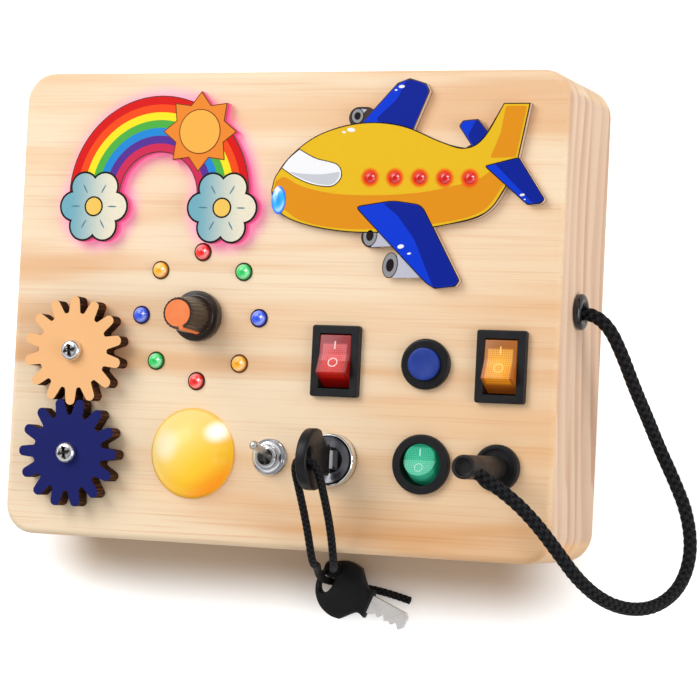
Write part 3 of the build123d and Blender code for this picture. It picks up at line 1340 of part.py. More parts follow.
with BuildPart() as standoffs:
    disc(CONTROL_SCREWS, STANDOFF_D, control_top, CONTROL_DROP)
    disc(CONTROL_SCREWS, BOARD_SCREW_D + 2 * THREAD_CLEAR, control_top, CONTROL_DROP, Mode.SUBTRACT)
keep(standoffs, "board_standoffs")

with BuildPart() as board_screws:
    for spots, under in ((CONTROL_SCREWS, control_top - PCB_T), (RING_SCREWS, RING_PCB_TOP - PCB_T)):
        disc(spots, BOARD_SCREW_HEAD_D, under - BOARD_SCREW_HEAD_T, BOARD_SCREW_HEAD_T)
        disc(spots, BOARD_SCREW_D - 0.1, under, INNER + BOARD_SCREW_BITE - under)
keep(board_screws, "board_screws")
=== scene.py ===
"""Wooden busy board: a pine case with switches, lamps, gears, a key lock and a plug on a cord."""

import logging
from dataclasses import dataclass, field
from enum import Enum
from math import acos, asin, atan2, cos, degrees, hypot, pi, radians, sin, tau
from typing import Callable, Iterable, Optional, Sequence, Union

import bmesh
import bpy
from bpy.types import Material, Mesh, Object
from mathutils import Matrix, Vector
from mathutils.geometry import intersect_point_line


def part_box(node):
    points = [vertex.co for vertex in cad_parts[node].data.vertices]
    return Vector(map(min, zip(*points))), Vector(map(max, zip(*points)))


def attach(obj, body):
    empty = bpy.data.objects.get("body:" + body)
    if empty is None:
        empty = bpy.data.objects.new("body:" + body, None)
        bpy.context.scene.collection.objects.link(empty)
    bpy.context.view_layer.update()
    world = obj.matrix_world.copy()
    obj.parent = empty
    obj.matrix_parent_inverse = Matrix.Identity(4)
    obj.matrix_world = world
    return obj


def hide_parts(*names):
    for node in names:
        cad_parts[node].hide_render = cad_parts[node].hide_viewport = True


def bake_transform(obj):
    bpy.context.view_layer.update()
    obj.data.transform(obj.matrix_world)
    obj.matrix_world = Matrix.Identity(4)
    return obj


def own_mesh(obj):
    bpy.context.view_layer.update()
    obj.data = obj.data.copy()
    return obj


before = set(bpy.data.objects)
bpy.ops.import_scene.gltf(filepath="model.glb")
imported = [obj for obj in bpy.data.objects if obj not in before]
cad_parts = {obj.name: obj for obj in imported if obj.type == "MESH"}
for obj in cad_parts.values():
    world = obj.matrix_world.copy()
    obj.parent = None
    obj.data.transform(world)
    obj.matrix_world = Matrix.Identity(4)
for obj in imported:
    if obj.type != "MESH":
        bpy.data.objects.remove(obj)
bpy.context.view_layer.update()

LOG = logging.getLogger("busy_board")

MM = 0.001
FACE = 42.0  # the top of the board's face, mm
EIGHTH = pi / 4

Point = tuple[float, float]
Span = tuple[float, float]  # a value's two limits
Point3 = tuple[float, float, float]
Colour = tuple[float, float, float]
Points = tuple[Point, ...]
Loop = list[Point]
Value = Union["Wire", float, tuple]

BLACK: Colour = (0.0, 0.0, 0.0)
WHITE: Colour = (1.0, 1.0, 1.0)


# ---- Colour and shader maths


def tint(red: float, green: float, blue: float) -> Colour:
    """Turn a screen colour into the linear one that shaders take.

    Args:
        red, green, blue: channels from 0 to 255.

    Returns:
        The three linear channels from 0 to 1.
    """
    channels = []
    for channel in (red, green, blue):
        share = channel / 255
        channels.append(share / 12.92 if share <= 0.04045 else ((share + 0.055) / 1.055) ** 2.4)
    return channels[0], channels[1], channels[2]


def shaded(colour: Colour, share: float, lift: float = 0.0) -> Colour:
    """The colour times share, plus lift, and no channel over 1."""
    return tuple(min(1.0, channel * share + lift) for channel in colour)


def maths(operation: str, swapped: bool = False) -> Callable[["Wire", Value], "Wire"]:
    """Make a method of Wire that adds one Math node.

    Args:
        operation: the node's operation.
        swapped: whether the other value comes first.

    Returns:
        The method.
    """

    def method(self: "Wire", other: Value = 0.0) -> "Wire":
        """Add the Math node."""
        first, second = (other, self) if swapped else (self, other)
        return self.tree.node("ShaderNodeMath", {"operation": operation}, {0: first, 1: second})

    return method


class Wire:
    """A value on its way through a node tree; Python's operators add the Math nodes."""

    def __init__(self, tree: "Tree", socket: bpy.types.NodeSocket) -> None:
        """Keep the socket and the tree it belongs to."""
        self.tree = tree
        self.socket = socket

    __add__ = maths("ADD")
    __radd__ = maths("ADD", swapped=True)
    __sub__ = maths("SUBTRACT")
    __rsub__ = maths("SUBTRACT", swapped=True)
    __mul__ = maths("MULTIPLY")
    __rmul__ = maths("MULTIPLY", swapped=True)
    __truediv__ = maths("DIVIDE")
    __pow__ = maths("POWER")
    __gt__ = maths("GREATER_THAN")
    size = maths("ABSOLUTE")
    part = maths("FRACT")
    whole = maths("ROUND")
    sine = maths("SINE")
    cosine = maths("COSINE")
    most = maths("MAXIMUM")
    least = maths("MINIMUM")
    turn = maths("ARCTAN2")  # the angle of (other, self) round the origin, in radians

    def off(self, pitch: float) -> "Wire":
        """How far the value is from the nearest multiple of pitch."""
        return ((self / pitch + 0.5).part() - 0.5) * pitch

    def out(self, other: "Wire") -> "Wire":
        """The length of (self, other)."""
        return (self * self + other * other) ** 0.5

    def fade(self, low: float, high: float, start: float = 0.0, end: float = 1.0) -> "Wire":
        """start below low, end above high, and a smooth step between."""
        limits = {"Value": self, "From Min": low, "From Max": high, "To Min": start, "To Max": end}
        return self.tree.node("ShaderNodeMapRange", {"interpolation_type": "SMOOTHSTEP"}, limits)

    def axes(self) -> tuple["Wire", "Wire", "Wire"]:
        """The vector's three parts."""
        outputs = self.tree.node("ShaderNodeSeparateXYZ", inputs={0: self}).socket.node.outputs
        return Wire(self.tree, outputs[0]), Wire(self.tree, outputs[1]), Wire(self.tree, outputs[2])

    def noise(self, scale: float, detail: float = 2.0, warp: float = 0.0) -> "Wire":
        """Smooth noise from 0 to 1 over the vector."""
        sizes = {"Vector": self, "Scale": scale, "Detail": detail, "Distortion": warp}
        return self.tree.node("ShaderNodeTexNoise", {"noise_dimensions": "3D"}, sizes)

    def grain(self, scale: Point3, detail: float, warp: float = 0.0) -> "Wire":
        """Noise with its own scale along each axis of the vector."""
        stretched = self.tree.node("ShaderNodeMapping", inputs={0: self, "Scale": scale})
        return stretched.noise(1.0, detail, warp)

    def bump(self, depth_mm: float, strength: float = 1.0) -> "Wire":
        """A normal from this height of 0 to 1 that is depth_mm high."""
        sizes = {"Height": self, "Distance": depth_mm * MM, "Strength": strength}
        return self.tree.node("ShaderNodeBump", inputs=sizes)


class Tree:
    """A node tree under construction."""

    def __init__(self, tree: bpy.types.NodeTree) -> None:
        """Start with no nodes."""
        self.tree = tree
        self.tree.nodes.clear()

    def node(
        self,
        kind: str,
        settings: Optional[dict] = None,
        inputs: Optional[dict] = None,
        output: Union[int, str] = 0,
    ) -> Wire:
        """Add one node.

        Args:
            kind: the node's type.
            settings: its own settings, set first; "stops" holds a ramp's (place, colour) pairs and
                "line" a curve's points.
            inputs: values or wires by socket name or number; a list holds the wires of one socket.
            output: the output that is handed on.

        Returns:
            The output as a wire.
        """
        made = self.tree.nodes.new(kind)
        for name, value in (settings or {}).items():
            if name == "stops":
                self._stops(made.color_ramp.elements, value)
            elif name == "line":
                self._line(made.mapping, value)
            else:
                setattr(made, name, value)
        for name, value in (inputs or {}).items():
            socket = made.inputs[name]
            if isinstance(value, (Wire, list)):
                for wire in value if isinstance(value, list) else [value]:
                    self.tree.links.new(wire.socket, socket)
            elif socket.type == "RGBA":
                socket.default_value = (*value[:3], 1.0)
            else:
                socket.default_value = value
        return Wire(self, made.outputs[output] if made.outputs else None)

    @staticmethod
    def _stops(elements: bpy.types.ColorRampElements, stops: Sequence[tuple[float, Colour]]) -> None:
        """Set a colour ramp's stops.

        Args:
            elements: the ramp's own stops.
            stops: the places and colours that they get.
        """
        elements.remove(elements[-1])
        for number, (place, colour) in enumerate(stops):
            stop = elements.new(place) if number else elements[0]
            stop.position = place
            stop.color = (*colour, 1.0)

    @staticmethod
    def _line(mapping: bpy.types.CurveMapping, points: Sequence[Point]) -> None:
        """Set a float curve's points, with straight lines between them.

        Args:
            mapping: the node's curve.
            points: its points.
        """
        line = mapping.curves[0].points
        for number, place in enumerate(points):
            point = line[number] if number < len(line) else line.new(*place)
            point.location = place
            point.handle_type = "VECTOR"
        mapping.update()

    def vector(self, x: Value, y: Value, z: Value = 0.0) -> Wire:
        """Three values as one vector."""
        return self.node("ShaderNodeCombineXYZ", inputs={0: x, 1: y, 2: z})

    def blend(self, first: Value, second: Value, share: Value) -> Wire:
        """first where share is 0 and second where it is 1, as colours."""
        settings = {"data_type": "RGBA", "clamp_factor": True}
        return self.node("ShaderNodeMix", settings, {0: share, 6: first, 7: second}, output=2)


class Paint(Tree):
    """A material under construction."""

    def __init__(self, name: str) -> None:
        """Start an empty material.

        Args:
            name: its name.
        """
        self.material = bpy.data.materials.new(name)
        self.material.use_nodes = True
        super().__init__(self.material.node_tree)

    def at(self) -> Wire:
        """Object coordinates in millimetres."""
        coordinates = self.node("ShaderNodeTexCoord", output="Object")
        return self.node("ShaderNodeMapping", inputs={0: coordinates, "Scale": (1 / MM, 1 / MM, 1 / MM)})

    def surface(self, colour: Value, roughness: Value, **others: Value) -> None:
        """Close the material with one shader.

        Args:
            colour: the base colour.
            roughness: the roughness.
            others: more of the shader's sockets, with _ for each space in their names.
        """
        inputs = {"Base Color": colour, "Roughness": roughness}
        inputs.update({name.replace("_", " "): value for name, value in others.items()})
        self.close(self.node("ShaderNodeBsdfPrincipled", inputs=inputs))

    def close(self, shader: Wire) -> None:
        """Link a shader to the material's output."""
        self.node("ShaderNodeOutputMaterial", inputs={"Surface": shader})


def glow(colour: Value, strength: float) -> dict[str, Value]:
    """The sockets of a surface that shines by itself."""
    return {"Emission_Color": colour, "Emission_Strength": strength} if strength else {}


# ---- Finishes


@dataclass(frozen=True)
class Finish:
    """A finish by name; its material is made once and then shared."""

    name: str

    def material(self) -> Material:
        """Get the finish's material, and make it if it is the first time.

        Returns:
            The material.
        """
        name = f"finish_{self.name}"
        if name not in bpy.data.materials:
            self.mix(Paint(name))
        return bpy.data.materials[name]

    def mix(self, paint: Paint) -> None:
        """Make the material from an empty one."""
        raise NotImplementedError


@dataclass(frozen=True)
class Pine(Finish):
    """Pale sanded pine: rings flat under the face, end grain on the short sides, a lit halo of pink and
    painted shade towards the lower right.
    """

    pale: Colour = tint(255, 231, 198)
    # the wood's warm tone, also used for the painted shade towards the lower right
    warm_tone_and_shade: Colour = tint(247, 198, 147)
    late: Colour = tint(226, 158, 98)
    end_pale: Colour = tint(238, 208, 180)
    end_dark: Colour = tint(212, 168, 140)
    halo: Colour = tint(255, 60, 190)
    halo_wood: Colour = tint(240, 176, 214)
    halo_reach: Span = (4.8, -0.5)  # mm from the picture: where the light ends and where it is full
    halo_glow: float = 0.22
    half_length: float = 88.0
    half_height: float = 71.0
    ring: float = 8.6  # mm from one ring to the next
    heart: float = -14.0  # the tree's middle along Y
    lean: float = 0.09  # how much the rings lean over along Y
    cup: float = 0.0009  # how fast they bend away from the heart, per mm
    sway: float = 12.0  # mm that they wander
    uneven: float = 16.0
    sway_grain: Point3 = (0.0032, 0.009, 0.013)  # each pattern's scale along the axes, per mm
    uneven_grain: Point3 = (0.002, 0.006, 0.085)
    broad_grain: Point3 = (0.006, 0.075, 0.05)
    fine_grain: Point3 = (0.02, 1.7, 1.7)
    fibre_grain: Point3 = (1.6, 1.6, 1.6)
    faint_grain: Point3 = (0.01, 0.012, 0.12)
    foot_strip: float = 24.0  # mm of darker streaks along the lower edge
    left_from: float = -40.0
    shade_lean: float = 0.8  # the line of the painted shade towards the lower right corner: X times this, less Y
    shade_at: Span = (10.0, 130.0)
    end_skin: Span = (0.9, 0.1)  # mm under the short sides where end grain begins and is full
    arch: Point = (-39.5, 33.3)
    arch_middle: float = 21.4
    arch_half: float = 8.6
    feet: tuple[Point, Point] = ((-60.9, 29.5), (-18.1, 29.5))
    foot: float = 11.0

    def pink(self, x: Wire, y: Wire) -> Wire:
        """How much of the picture's pink light falls on a point of the face.

        Args:
            x, y: the point.

        Returns:
            From 0 to 1.
        """
        across = x - self.arch[0]
        up = (y - self.arch[1]).most(0.0)
        near = (across.out(up) - self.arch_middle).size() - self.arch_half
        near = near.most((y - self.arch[1]) * -1.0)
        for foot_x, foot_y in self.feet:
            near = near.least((x - foot_x).out(y - foot_y) - self.foot)
        return near.fade(*self.halo_reach)

    def mix(self, paint: Paint) -> None:
        """Rings, streaks along the board, duller ends and painted shade towards the lower right.

        Args:
            paint: the empty material.
        """
        at = paint.at()
        x, y, z = at.axes()
        across = y - self.heart
        rings = z - y * self.lean + across * across * self.cup
        rings = rings + at.grain(self.sway_grain, 1.0) * self.sway
        rings = rings + at.grain(self.uneven_grain, 2.0) * self.uneven
        step = (rings / self.ring).part()
        broad = at.grain(self.broad_grain, 3.0, 0.4)
        fine = at.grain(self.fine_grain, 3.0)
        edge = y.fade(-self.half_height + self.foot_strip, -self.half_height)
        # painted shade: warmer and darker towards the lower right corner
        far = (x * self.shade_lean - y).fade(*self.shade_at)
        left = x.fade(self.left_from, -self.half_length)
        line = step.fade(1.0, 0.93)
        streak = step.fade(0.45, 0.9) * line * broad.fade(0.35, 0.7)
        # the warm colour gives both the broad random tone and the painted shade
        colour = paint.blend(self.pale, self.warm_tone_and_shade, broad.fade(0.4, 0.7) * 0.6 + far * 0.6)
        colour = paint.blend(colour, self.late, streak * (0.4 + edge * 0.35 + left * 0.2))
        colour = paint.blend(colour, self.late, fine.fade(0.5, 0.78) * (0.3 + edge * 0.2))
        faint = at.grain(self.faint_grain, 2.0).fade(0.3, 0.7, 0.35, 0.85)
        fibre = at.grain(self.fibre_grain, 3.0).fade(0.4, 0.8)
        end = paint.blend(self.end_pale, self.end_dark, step.fade(0.1, 0.86) * line * faint + fibre * 0.15)
        first, last = (self.half_length - depth for depth in self.end_skin)
        colour = paint.blend(colour, end, x.size().fade(first, last))
        pink = self.pink(x, y) * (z > FACE - 0.2)
        colour = paint.blend(colour, self.halo_wood, pink * 0.5)
        others = {"Normal": (fine * 0.7 + streak * 0.5).bump(0.06, 0.5), "Specular_IOR_Level": 0.2}
        others.update(glow(paint.blend(BLACK, self.halo, pink), self.halo_glow))
        paint.surface(colour, fine.fade(0.2, 0.9, 0.5, 0.66), **others)


@dataclass(frozen=True)
class Ply(Finish):
    """Plywood: a plain veneer on the faces and thin layers round the edges."""

    veneer: Colour = tint(226, 194, 152)
    layer: float = 1.2
    dark_above: float = 1e3  # mm; the print's dark key line starts here
    shadow_below: float = -1e3  # mm; a painted shadow line along the plate's foot ends here
    key: Colour = tint(46, 26, 18)
    edge_pale: Colour = tint(224, 190, 150)
    edge_dark: Colour = tint(150, 104, 70)
    veneer_grain: Point3 = (0.05, 1.1, 1.1)
    # how strongly the plywood glows; on plywood, which is no lamp, this is painted light
    lit: float = 0.0

    def mix(self, paint: Paint) -> None:
        """Layers by height, a grained veneer, the printed line on top and a painted shadow line at the
        foot.

        Args:
            paint: the empty material.
        """
        at = paint.at()
        _, _, z = at.axes()
        grain = at.grain(self.veneer_grain, 4.0)
        layers = ((z / self.layer).part() - 0.5).size().fade(0.2, 0.3)
        edge = paint.blend(self.edge_pale, self.edge_dark, layers * 0.6 + grain * 0.3)
        flat = paint.node("ShaderNodeNewGeometry", output="Normal").axes()[2].size()
        colour = paint.blend(edge, paint.blend(self.veneer, self.edge_dark, grain * 0.25), flat > 0.7)
        # the printed key line on top, and a painted shadow line at the foot in the same dark colour
        ink_and_shadow = (z > self.dark_above).most(1.0 - (z > self.shadow_below))
        colour = paint.blend(colour, self.key, ink_and_shadow)
        shine = glow(paint.blend(colour, BLACK, ink_and_shadow), self.lit)
        paint.surface(colour, 0.6, Normal=grain.bump(0.05, 0.5), **shine)


@dataclass(frozen=True)
class Ink(Finish):
    """A printed colour with a faint mottle and a soft sheen."""

    colour: Colour
    far: Optional[Colour] = None  # the colour at the right end of a fade
    fade_from: float = 0.0  # X where the fade starts, mm
    fade_length: float = 17.0
    sheen: float = 0.42
    lit: float = 0.0
    mottle: float = 2.2  # per mm
    tooth: float = 6.0

    def mix(self, paint: Paint) -> None:
        """The colour or its fade, mottled.

        Args:
            paint: the empty material.
        """
        at = paint.at()
        colour: Value = self.colour
        if self.far:
            along = at.axes()[0] - self.fade_from
            colour = paint.blend(self.colour, self.far, along.fade(0.0, self.fade_length))
        speck = at.noise(self.mottle, 3.0)
        colour = paint.blend(colour, shaded(self.colour, 0.86), speck.fade(0.5, 0.85) * 0.35)
        rough = speck.fade(0.2, 0.8, self.sheen - 0.05, self.sheen + 0.08)
        normal = at.noise(self.tooth).bump(0.012, 0.6)
        paint.surface(colour, rough, Normal=normal, Specular_IOR_Level=0.1, **glow(colour, self.lit))


@dataclass(frozen=True)
class Halo(Finish):
    """Red light round each lamp of a row, fading out over the paint under it."""

    first: Point
    pitch: float = 7.7
    near: Colour = tint(238, 62, 22)
    far: Colour = tint(244, 120, 30)
    lens: float = 1.7
    reach: float = 3.3

    def mix(self, paint: Paint) -> None:
        """Fade from red to nothing.

        Args:
            paint: the empty material.
        """
        x, y, _ = paint.at().axes()
        shown = (x - self.first[0]).off(self.pitch).out(y - self.first[1]).fade(self.reach, self.lens)
        colour = paint.blend(self.far, self.near, shown)
        paint.surface(colour, 0.5, Alpha=shown * 0.85, Specular_IOR_Level=0.1, **glow(colour, 0.2))


@dataclass(frozen=True)
class Charred(Finish):
    """A laser-cut edge: brown-black streaks that run through the thickness."""

    dark: Colour = tint(48, 27, 17)
    brown: Colour = tint(112, 68, 40)
    upright: Point3 = (1.5, 1.5, 0.12)

    def mix(self, paint: Paint) -> None:
        """Upright streaks.

        Args:
            paint: the empty material.
        """
        streaks = paint.at().grain(self.upright, 4.0)
        colour = paint.blend(self.dark, self.brown, streaks.fade(0.45, 0.75))
        paint.surface(colour, 0.7, Normal=streaks.bump(0.1, 0.6), Specular_IOR_Level=0.1)


@dataclass(frozen=True)
class Moulded(Finish):
    """Moulded plastic or rubber with a fine spark-eroded grain."""

    colour: Colour
    gloss: float = 0.35
    grain: float = 0.02  # mm deep
    coat: float = 0.0
    lit: float = 0.0
    shine: float = 0.25
    spark: float = 7.0  # per mm
    patches: float = 0.35

    def mix(self, paint: Paint) -> None:
        """The colour with its grain and a few dull patches.

        Args:
            paint: the empty material.
        """
        at = paint.at()
        wear = at.noise(self.patches, 3.0)
        colour = paint.blend(self.colour, shaded(self.colour, 1.25, 0.004), wear.fade(0.45, 0.75) * 0.5)
        rough = wear.fade(0.3, 0.8, self.gloss, self.gloss + 0.12)
        others = {"Normal": at.noise(self.spark, 3.0).bump(self.grain, 0.5), **glow(colour, self.lit)}
        if self.coat:
            others.update(Coat_Weight=self.coat, Coat_Roughness=0.06)
        paint.surface(colour, rough, Specular_IOR_Level=self.shine, **others)


@dataclass(frozen=True)
class Metal(Finish):
    """Bare or plated metal with hairline marks."""

    colour: Colour
    polish: float = 0.18
    marks: Point3 = (2.0, 2.0, 2.0)
    metal: float = 1.0
    smudge: float = 0.25  # per mm

    def mix(self, paint: Paint) -> None:
        """Hairline marks and smudges in the polish.

        Args:
            paint: the empty material.
        """
        at = paint.at()
        marks = at.grain(self.marks, 4.0)
        smudge = at.noise(self.smudge)
        colour = paint.blend(self.colour, shaded(self.colour, 0.72), smudge.fade(0.45, 0.8) * 0.5)
        rough = (marks * 0.6 + smudge * 0.4).fade(0.3, 0.75, self.polish, self.polish + 0.14)
        paint.surface(colour, rough, Metallic=self.metal, Normal=marks.bump(0.006, 0.4))


@dataclass(frozen=True)
class CrossHead(Metal):
    """Bright screws whose cross recess is in shadow."""

    first: Point = (-64.0, -14.7)
    pitch: float = 31.0
    turn: float = 0.3  # radians
    reach: float = 2.3
    half_slot: float = 0.5
    # the painted shadow in the cross recess
    recess: Colour = (0.11, 0.1, 0.09)

    def mix(self, paint: Paint) -> None:
        """Polish with the cross recess in painted shadow.

        Args:
            paint: the empty material.
        """
        at = paint.at()
        x, y, _ = at.axes()
        x = x - self.first[0]
        y = (y - self.first[1]).off(self.pitch)
        along = x * cos(self.turn) + y * sin(self.turn)
        across = y * cos(self.turn) - x * sin(self.turn)
        cross = along.size().least(across.size()).fade(self.half_slot, self.half_slot * 0.6)
        # painted shadow in the cross recess
        colour = paint.blend(self.colour, self.recess, cross * x.out(y).fade(self.reach, self.reach * 0.85))
        marks = at.grain(self.marks, 4.0)
        rough = marks.fade(0.3, 0.75, self.polish, self.polish + 0.14)
        paint.surface(colour, rough, Metallic=1.0, Normal=marks.bump(0.006, 0.4))


class Layout(Enum):
    """How a finish's lamps are laid out on the face."""

    RING = "ring"
    ROW = "row"
    SINGLE = "single"


@dataclass(frozen=True)
class Jewel(Finish):
    """A lit lens of clear coloured plastic: bright inside, darker rim and a small painted highlight shaped
    like a star.
    """

    colour: Colour
    deep: Colour
    layout: Layout
    centre: Point
    radius: float = 2.5
    spread: float = 19.4  # the ring's radius, or the row's pitch
    lit: float = 0.3
    star_at: Point = (1.25, 0.35)  # for a radius of 2.5
    star_reach: float = 1.3
    stretch: float = 1.0  # height over width
    crescent: float = 0.6  # how pale the light inside the lens is

    def local(self, paint: Paint) -> tuple[Wire, Wire]:
        """Find the nearest lamp's own centre.

        Args:
            paint: the material.

        Returns:
            The distances from that centre across and up.
        """
        x, y, _ = paint.at().axes()
        x = x - self.centre[0]
        y = y - self.centre[1]
        if self.layout is Layout.ROW:
            return x.off(self.spread), y
        if self.layout is Layout.SINGLE:
            return x, y / self.stretch
        angle = (y.turn(x) / EIGHTH).whole() * EIGHTH
        return x - angle.cosine() * self.spread, y - angle.sine() * self.spread

    def mix(self, paint: Paint) -> None:
        """Rim, inner light and star.

        Args:
            paint: the empty material.
        """
        across, up = self.local(paint)
        out = across.out(up)
        radius = self.radius
        rim = out.fade(radius * 0.72, radius)
        # painted highlight: a small white star, also given to the glow
        across_star = (across - self.star_at[0] * radius / 2.5).size()
        up_star = (up - self.star_at[1] * radius / 2.5).size()
        star = (across_star**0.5 + up_star**0.5).fade(self.star_reach, self.star_reach * 0.3)
        crescent = out.fade(radius * 0.3, radius * 0.75) * (1.0 - rim)
        side = (up - across * 0.5).size().fade(radius * 0.15, radius * 0.8)
        colour = paint.blend(self.colour, shaded(self.colour, 0.55, 0.45), crescent * side * self.crescent)
        heart = out.fade(radius * 0.5, 0.0)
        colour = paint.blend(colour, self.deep, rim * 0.9 + heart * 0.4)
        colour = paint.blend(colour, WHITE, star)
        paint.surface(colour, 0.1, Coat_Weight=0.3, Coat_Roughness=0.04, **glow(colour, self.lit))


@dataclass(frozen=True)
class LitRocker(Finish):
    """A rocker of clear coloured plastic over a lamp, with a fine grid moulded in its faces; its halves
    carry painted light and shade, and it is painted darker lower down.
    """

    centre: Point
    core: Colour
    pressed: Colour  # the half that is pushed in; each half's colour holds painted light and shade
    raised: Colour
    rim: Colour
    half_width: float = 4.85
    half_length: float = 5.9
    pitch: float = 0.62
    lit: float = 0.3

    def mix(self, paint: Paint) -> None:
        """Grid, bright core and darker rim.

        Args:
            paint: the empty material.
        """
        across, along, z = paint.at().axes()
        across = across - self.centre[0]
        along = along - self.centre[1]
        lines = ((across / self.pitch).part() - 0.5).size().most(((along / self.pitch).part() - 0.5).size())
        inside = across.size().fade(self.half_width * 0.84, self.half_width * 0.7)
        inside = inside * along.size().fade(self.half_length * 0.92, self.half_length * 0.78)
        # painted light and shade: each half gets its own lit colour
        face = paint.blend(self.raised, self.pressed, along.fade(-0.2, 0.2))
        face = paint.blend(face, self.core, across.out(along).fade(self.half_length, 0.5) * 0.6)
        grid = lines.fade(0.3, 0.44) * inside
        face = paint.blend(face, self.rim, grid * 0.45)
        # painted shade: darker lower down, towards the face
        deep = z.fade(FACE + 2.2, FACE - 1.0)
        colour = paint.blend(self.rim, face, (0.2 + inside * 0.8) * (1.0 - deep * 0.6))
        others = {"Coat_Weight": 0.12, "Coat_Roughness": 0.08, "Specular_IOR_Level": 0.25}
        others.update(Normal=(1.0 - grid).bump(0.05, 0.5), **glow(colour, self.lit))
        paint.surface(colour, 0.24, **others)


@dataclass(frozen=True)
class LitDome(Finish):
    """The big yellow lamp dome, lit from inside, with painted light and shade: palest upper left, orange
    lower right.
    """

    centre: Point = (-25.0, -44.0)
    radius: float = 13.5
    # pale is the painted highlight's colour; rim and edge are painted shade at the lower right and along
    # the edge
    pale: Colour = tint(248, 236, 196)
    upper: Colour = tint(250, 222, 136)
    body: Colour = tint(252, 196, 46)
    rim: Colour = tint(255, 132, 14)
    edge: Colour = tint(104, 66, 12)
    highlight_at: Point = (-6.0, 2.2)
    highlight_reach: Span = (6.6, 1.6)
    star_at: Point = (9.2, 6.8)
    star_reach: float = 2.5
    star_ball: Span = (4.4, 0.4)
    lit: float = 0.32

    def mix(self, paint: Paint) -> None:
        """A painted highlight as a pale patch, a painted highlight star and a deeper rim with painted
        shade.

        Args:
            paint: the empty material.
        """
        x, y, z = paint.at().axes()
        x = x - self.centre[0]
        y = y - self.centre[1]
        radius = self.radius
        # painted light and shade: paler upper left, deeper orange lower right
        lower = x * 0.6 - y * 0.8
        body = lower.fade(radius * -0.7, radius * 0.6)
        colour = paint.blend(self.upper, self.body, body)
        colour = paint.blend(colour, self.rim, lower.fade(radius * 0.5, radius * 1.05) * 0.85)
        # painted highlight: a pale patch at the upper left
        near = (x - self.highlight_at[0]).out(y - self.highlight_at[1])
        colour = paint.blend(colour, self.pale, near.fade(*self.highlight_reach) * 0.85)
        # painted shade: a thin dark edge, darkest at the lower left
        thin = x.out(y).fade(radius * 0.93, radius * 1.01)
        shade = (x * -0.6 - y * 0.8).fade(radius * 0.1, radius * 0.75)
        colour = paint.blend(colour, self.edge, thin * (0.3 + shade * 0.65))
        # painted highlight: a white star at the upper right, also given to the glow
        across = x - self.star_at[0]
        up = y - self.star_at[1]
        rays = across.size() ** 0.5 + up.size() ** 0.5
        star = rays.fade(self.star_reach, self.star_reach * 0.25)
        star = star.most(across.out(up).fade(*self.star_ball) * 0.9)
        colour = paint.blend(colour, (1.0, 1.0, 0.96), star)
        colour = paint.blend(self.body, colour, 0.3 + z.fade(FACE, FACE + 1.6) * 0.7)
        lamp = paint.blend(paint.blend(colour, BLACK, 0.65), colour, body)
        shine = glow(paint.blend(lamp, (1.4, 1.4, 1.3), star), self.lit)
        paint.surface(colour, 0.3, Specular_IOR_Level=0.2, Coat_Weight=0.1, Coat_Roughness=0.1, **shine)


@dataclass(frozen=True)
class Braid(Finish):
    """Black braided nylon over the cord's own UV map: turns round it, then lays along it."""

    strands: int = 4
    threads: int = 5  # seen in one strand
    # gap is painted shade between the strands; shine is a painted sheen on their ridges
    gap: Colour = tint(2, 2, 3)
    colour: Colour = tint(12, 12, 13)
    shine: Colour = tint(58, 58, 64)

    def mix(self, paint: Paint) -> None:
        """Strands that cross over and under, with fine threads along each, painted shade in the gaps and a
        painted sheen on the ridges.

        Args:
            paint: the empty material.
        """
        round_it, along, _ = paint.node("ShaderNodeTexCoord", output="UV").axes()
        right = (round_it * float(self.strands) + along).part() - 0.5
        left = (round_it * float(self.strands) - along).part() - 0.5
        over = (right * left) > 0.0
        own = right * over + left * (1.0 - over)
        ridge = own.size().fade(0.5, 0.08)
        threads = ((own * float(self.threads)).part() - 0.5).size()
        fuzz = paint.at().noise(3.0, 3.0)
        # painted shade in the gaps, painted sheen on the ridges
        colour = paint.blend(self.gap, self.colour, own.size().fade(0.5, 0.36))
        colour = paint.blend(colour, self.shine, ridge * ridge * ridge * (0.2 + fuzz * 0.5))
        normal = (ridge + threads * -0.3).bump(0.2, 1.0)
        rough = fuzz.fade(0.3, 0.8, 0.42, 0.62)
        paint.surface(colour, rough, Normal=normal, Specular_IOR_Level=0.12)


@dataclass(frozen=True)
class Board(Finish):
    """A green circuit board with its copper and solder."""

    green: Colour = tint(22, 84, 52)
    track: Colour = tint(58, 128, 82)
    pitch: float = 0.35  # tracks per mm

    def mix(self, paint: Paint) -> None:
        """Tracks and pads in the green.

        Args:
            paint: the empty material.
        """
        cells = {"Vector": paint.at(), "Scale": self.pitch}
        line = paint.node("ShaderNodeTexVoronoi", {"feature": "DISTANCE_TO_EDGE"}, cells).fade(0.05, 0.02)
        paint.surface(paint.blend(self.green, self.track, line), 0.35, Normal=line.bump(0.03, 0.6))


@dataclass(frozen=True)
class GlowBase(Finish):
    """Pink acrylic that is lit from below and shines at its edge."""

    near: Colour = tint(248, 104, 170)
    deep: Colour = tint(206, 52, 104)
    cloud: float = 0.12  # per mm

    def mix(self, paint: Paint) -> None:
        """Brighter near the board.

        Args:
            paint: the empty material.
        """
        at = paint.at()
        share = at.axes()[2].fade(FACE, FACE + 2.0) * 0.7 + at.noise(self.cloud) * 0.3
        colour = paint.blend(self.near, self.deep, share)
        paint.surface(colour, 0.25, **glow(colour, 0.42))


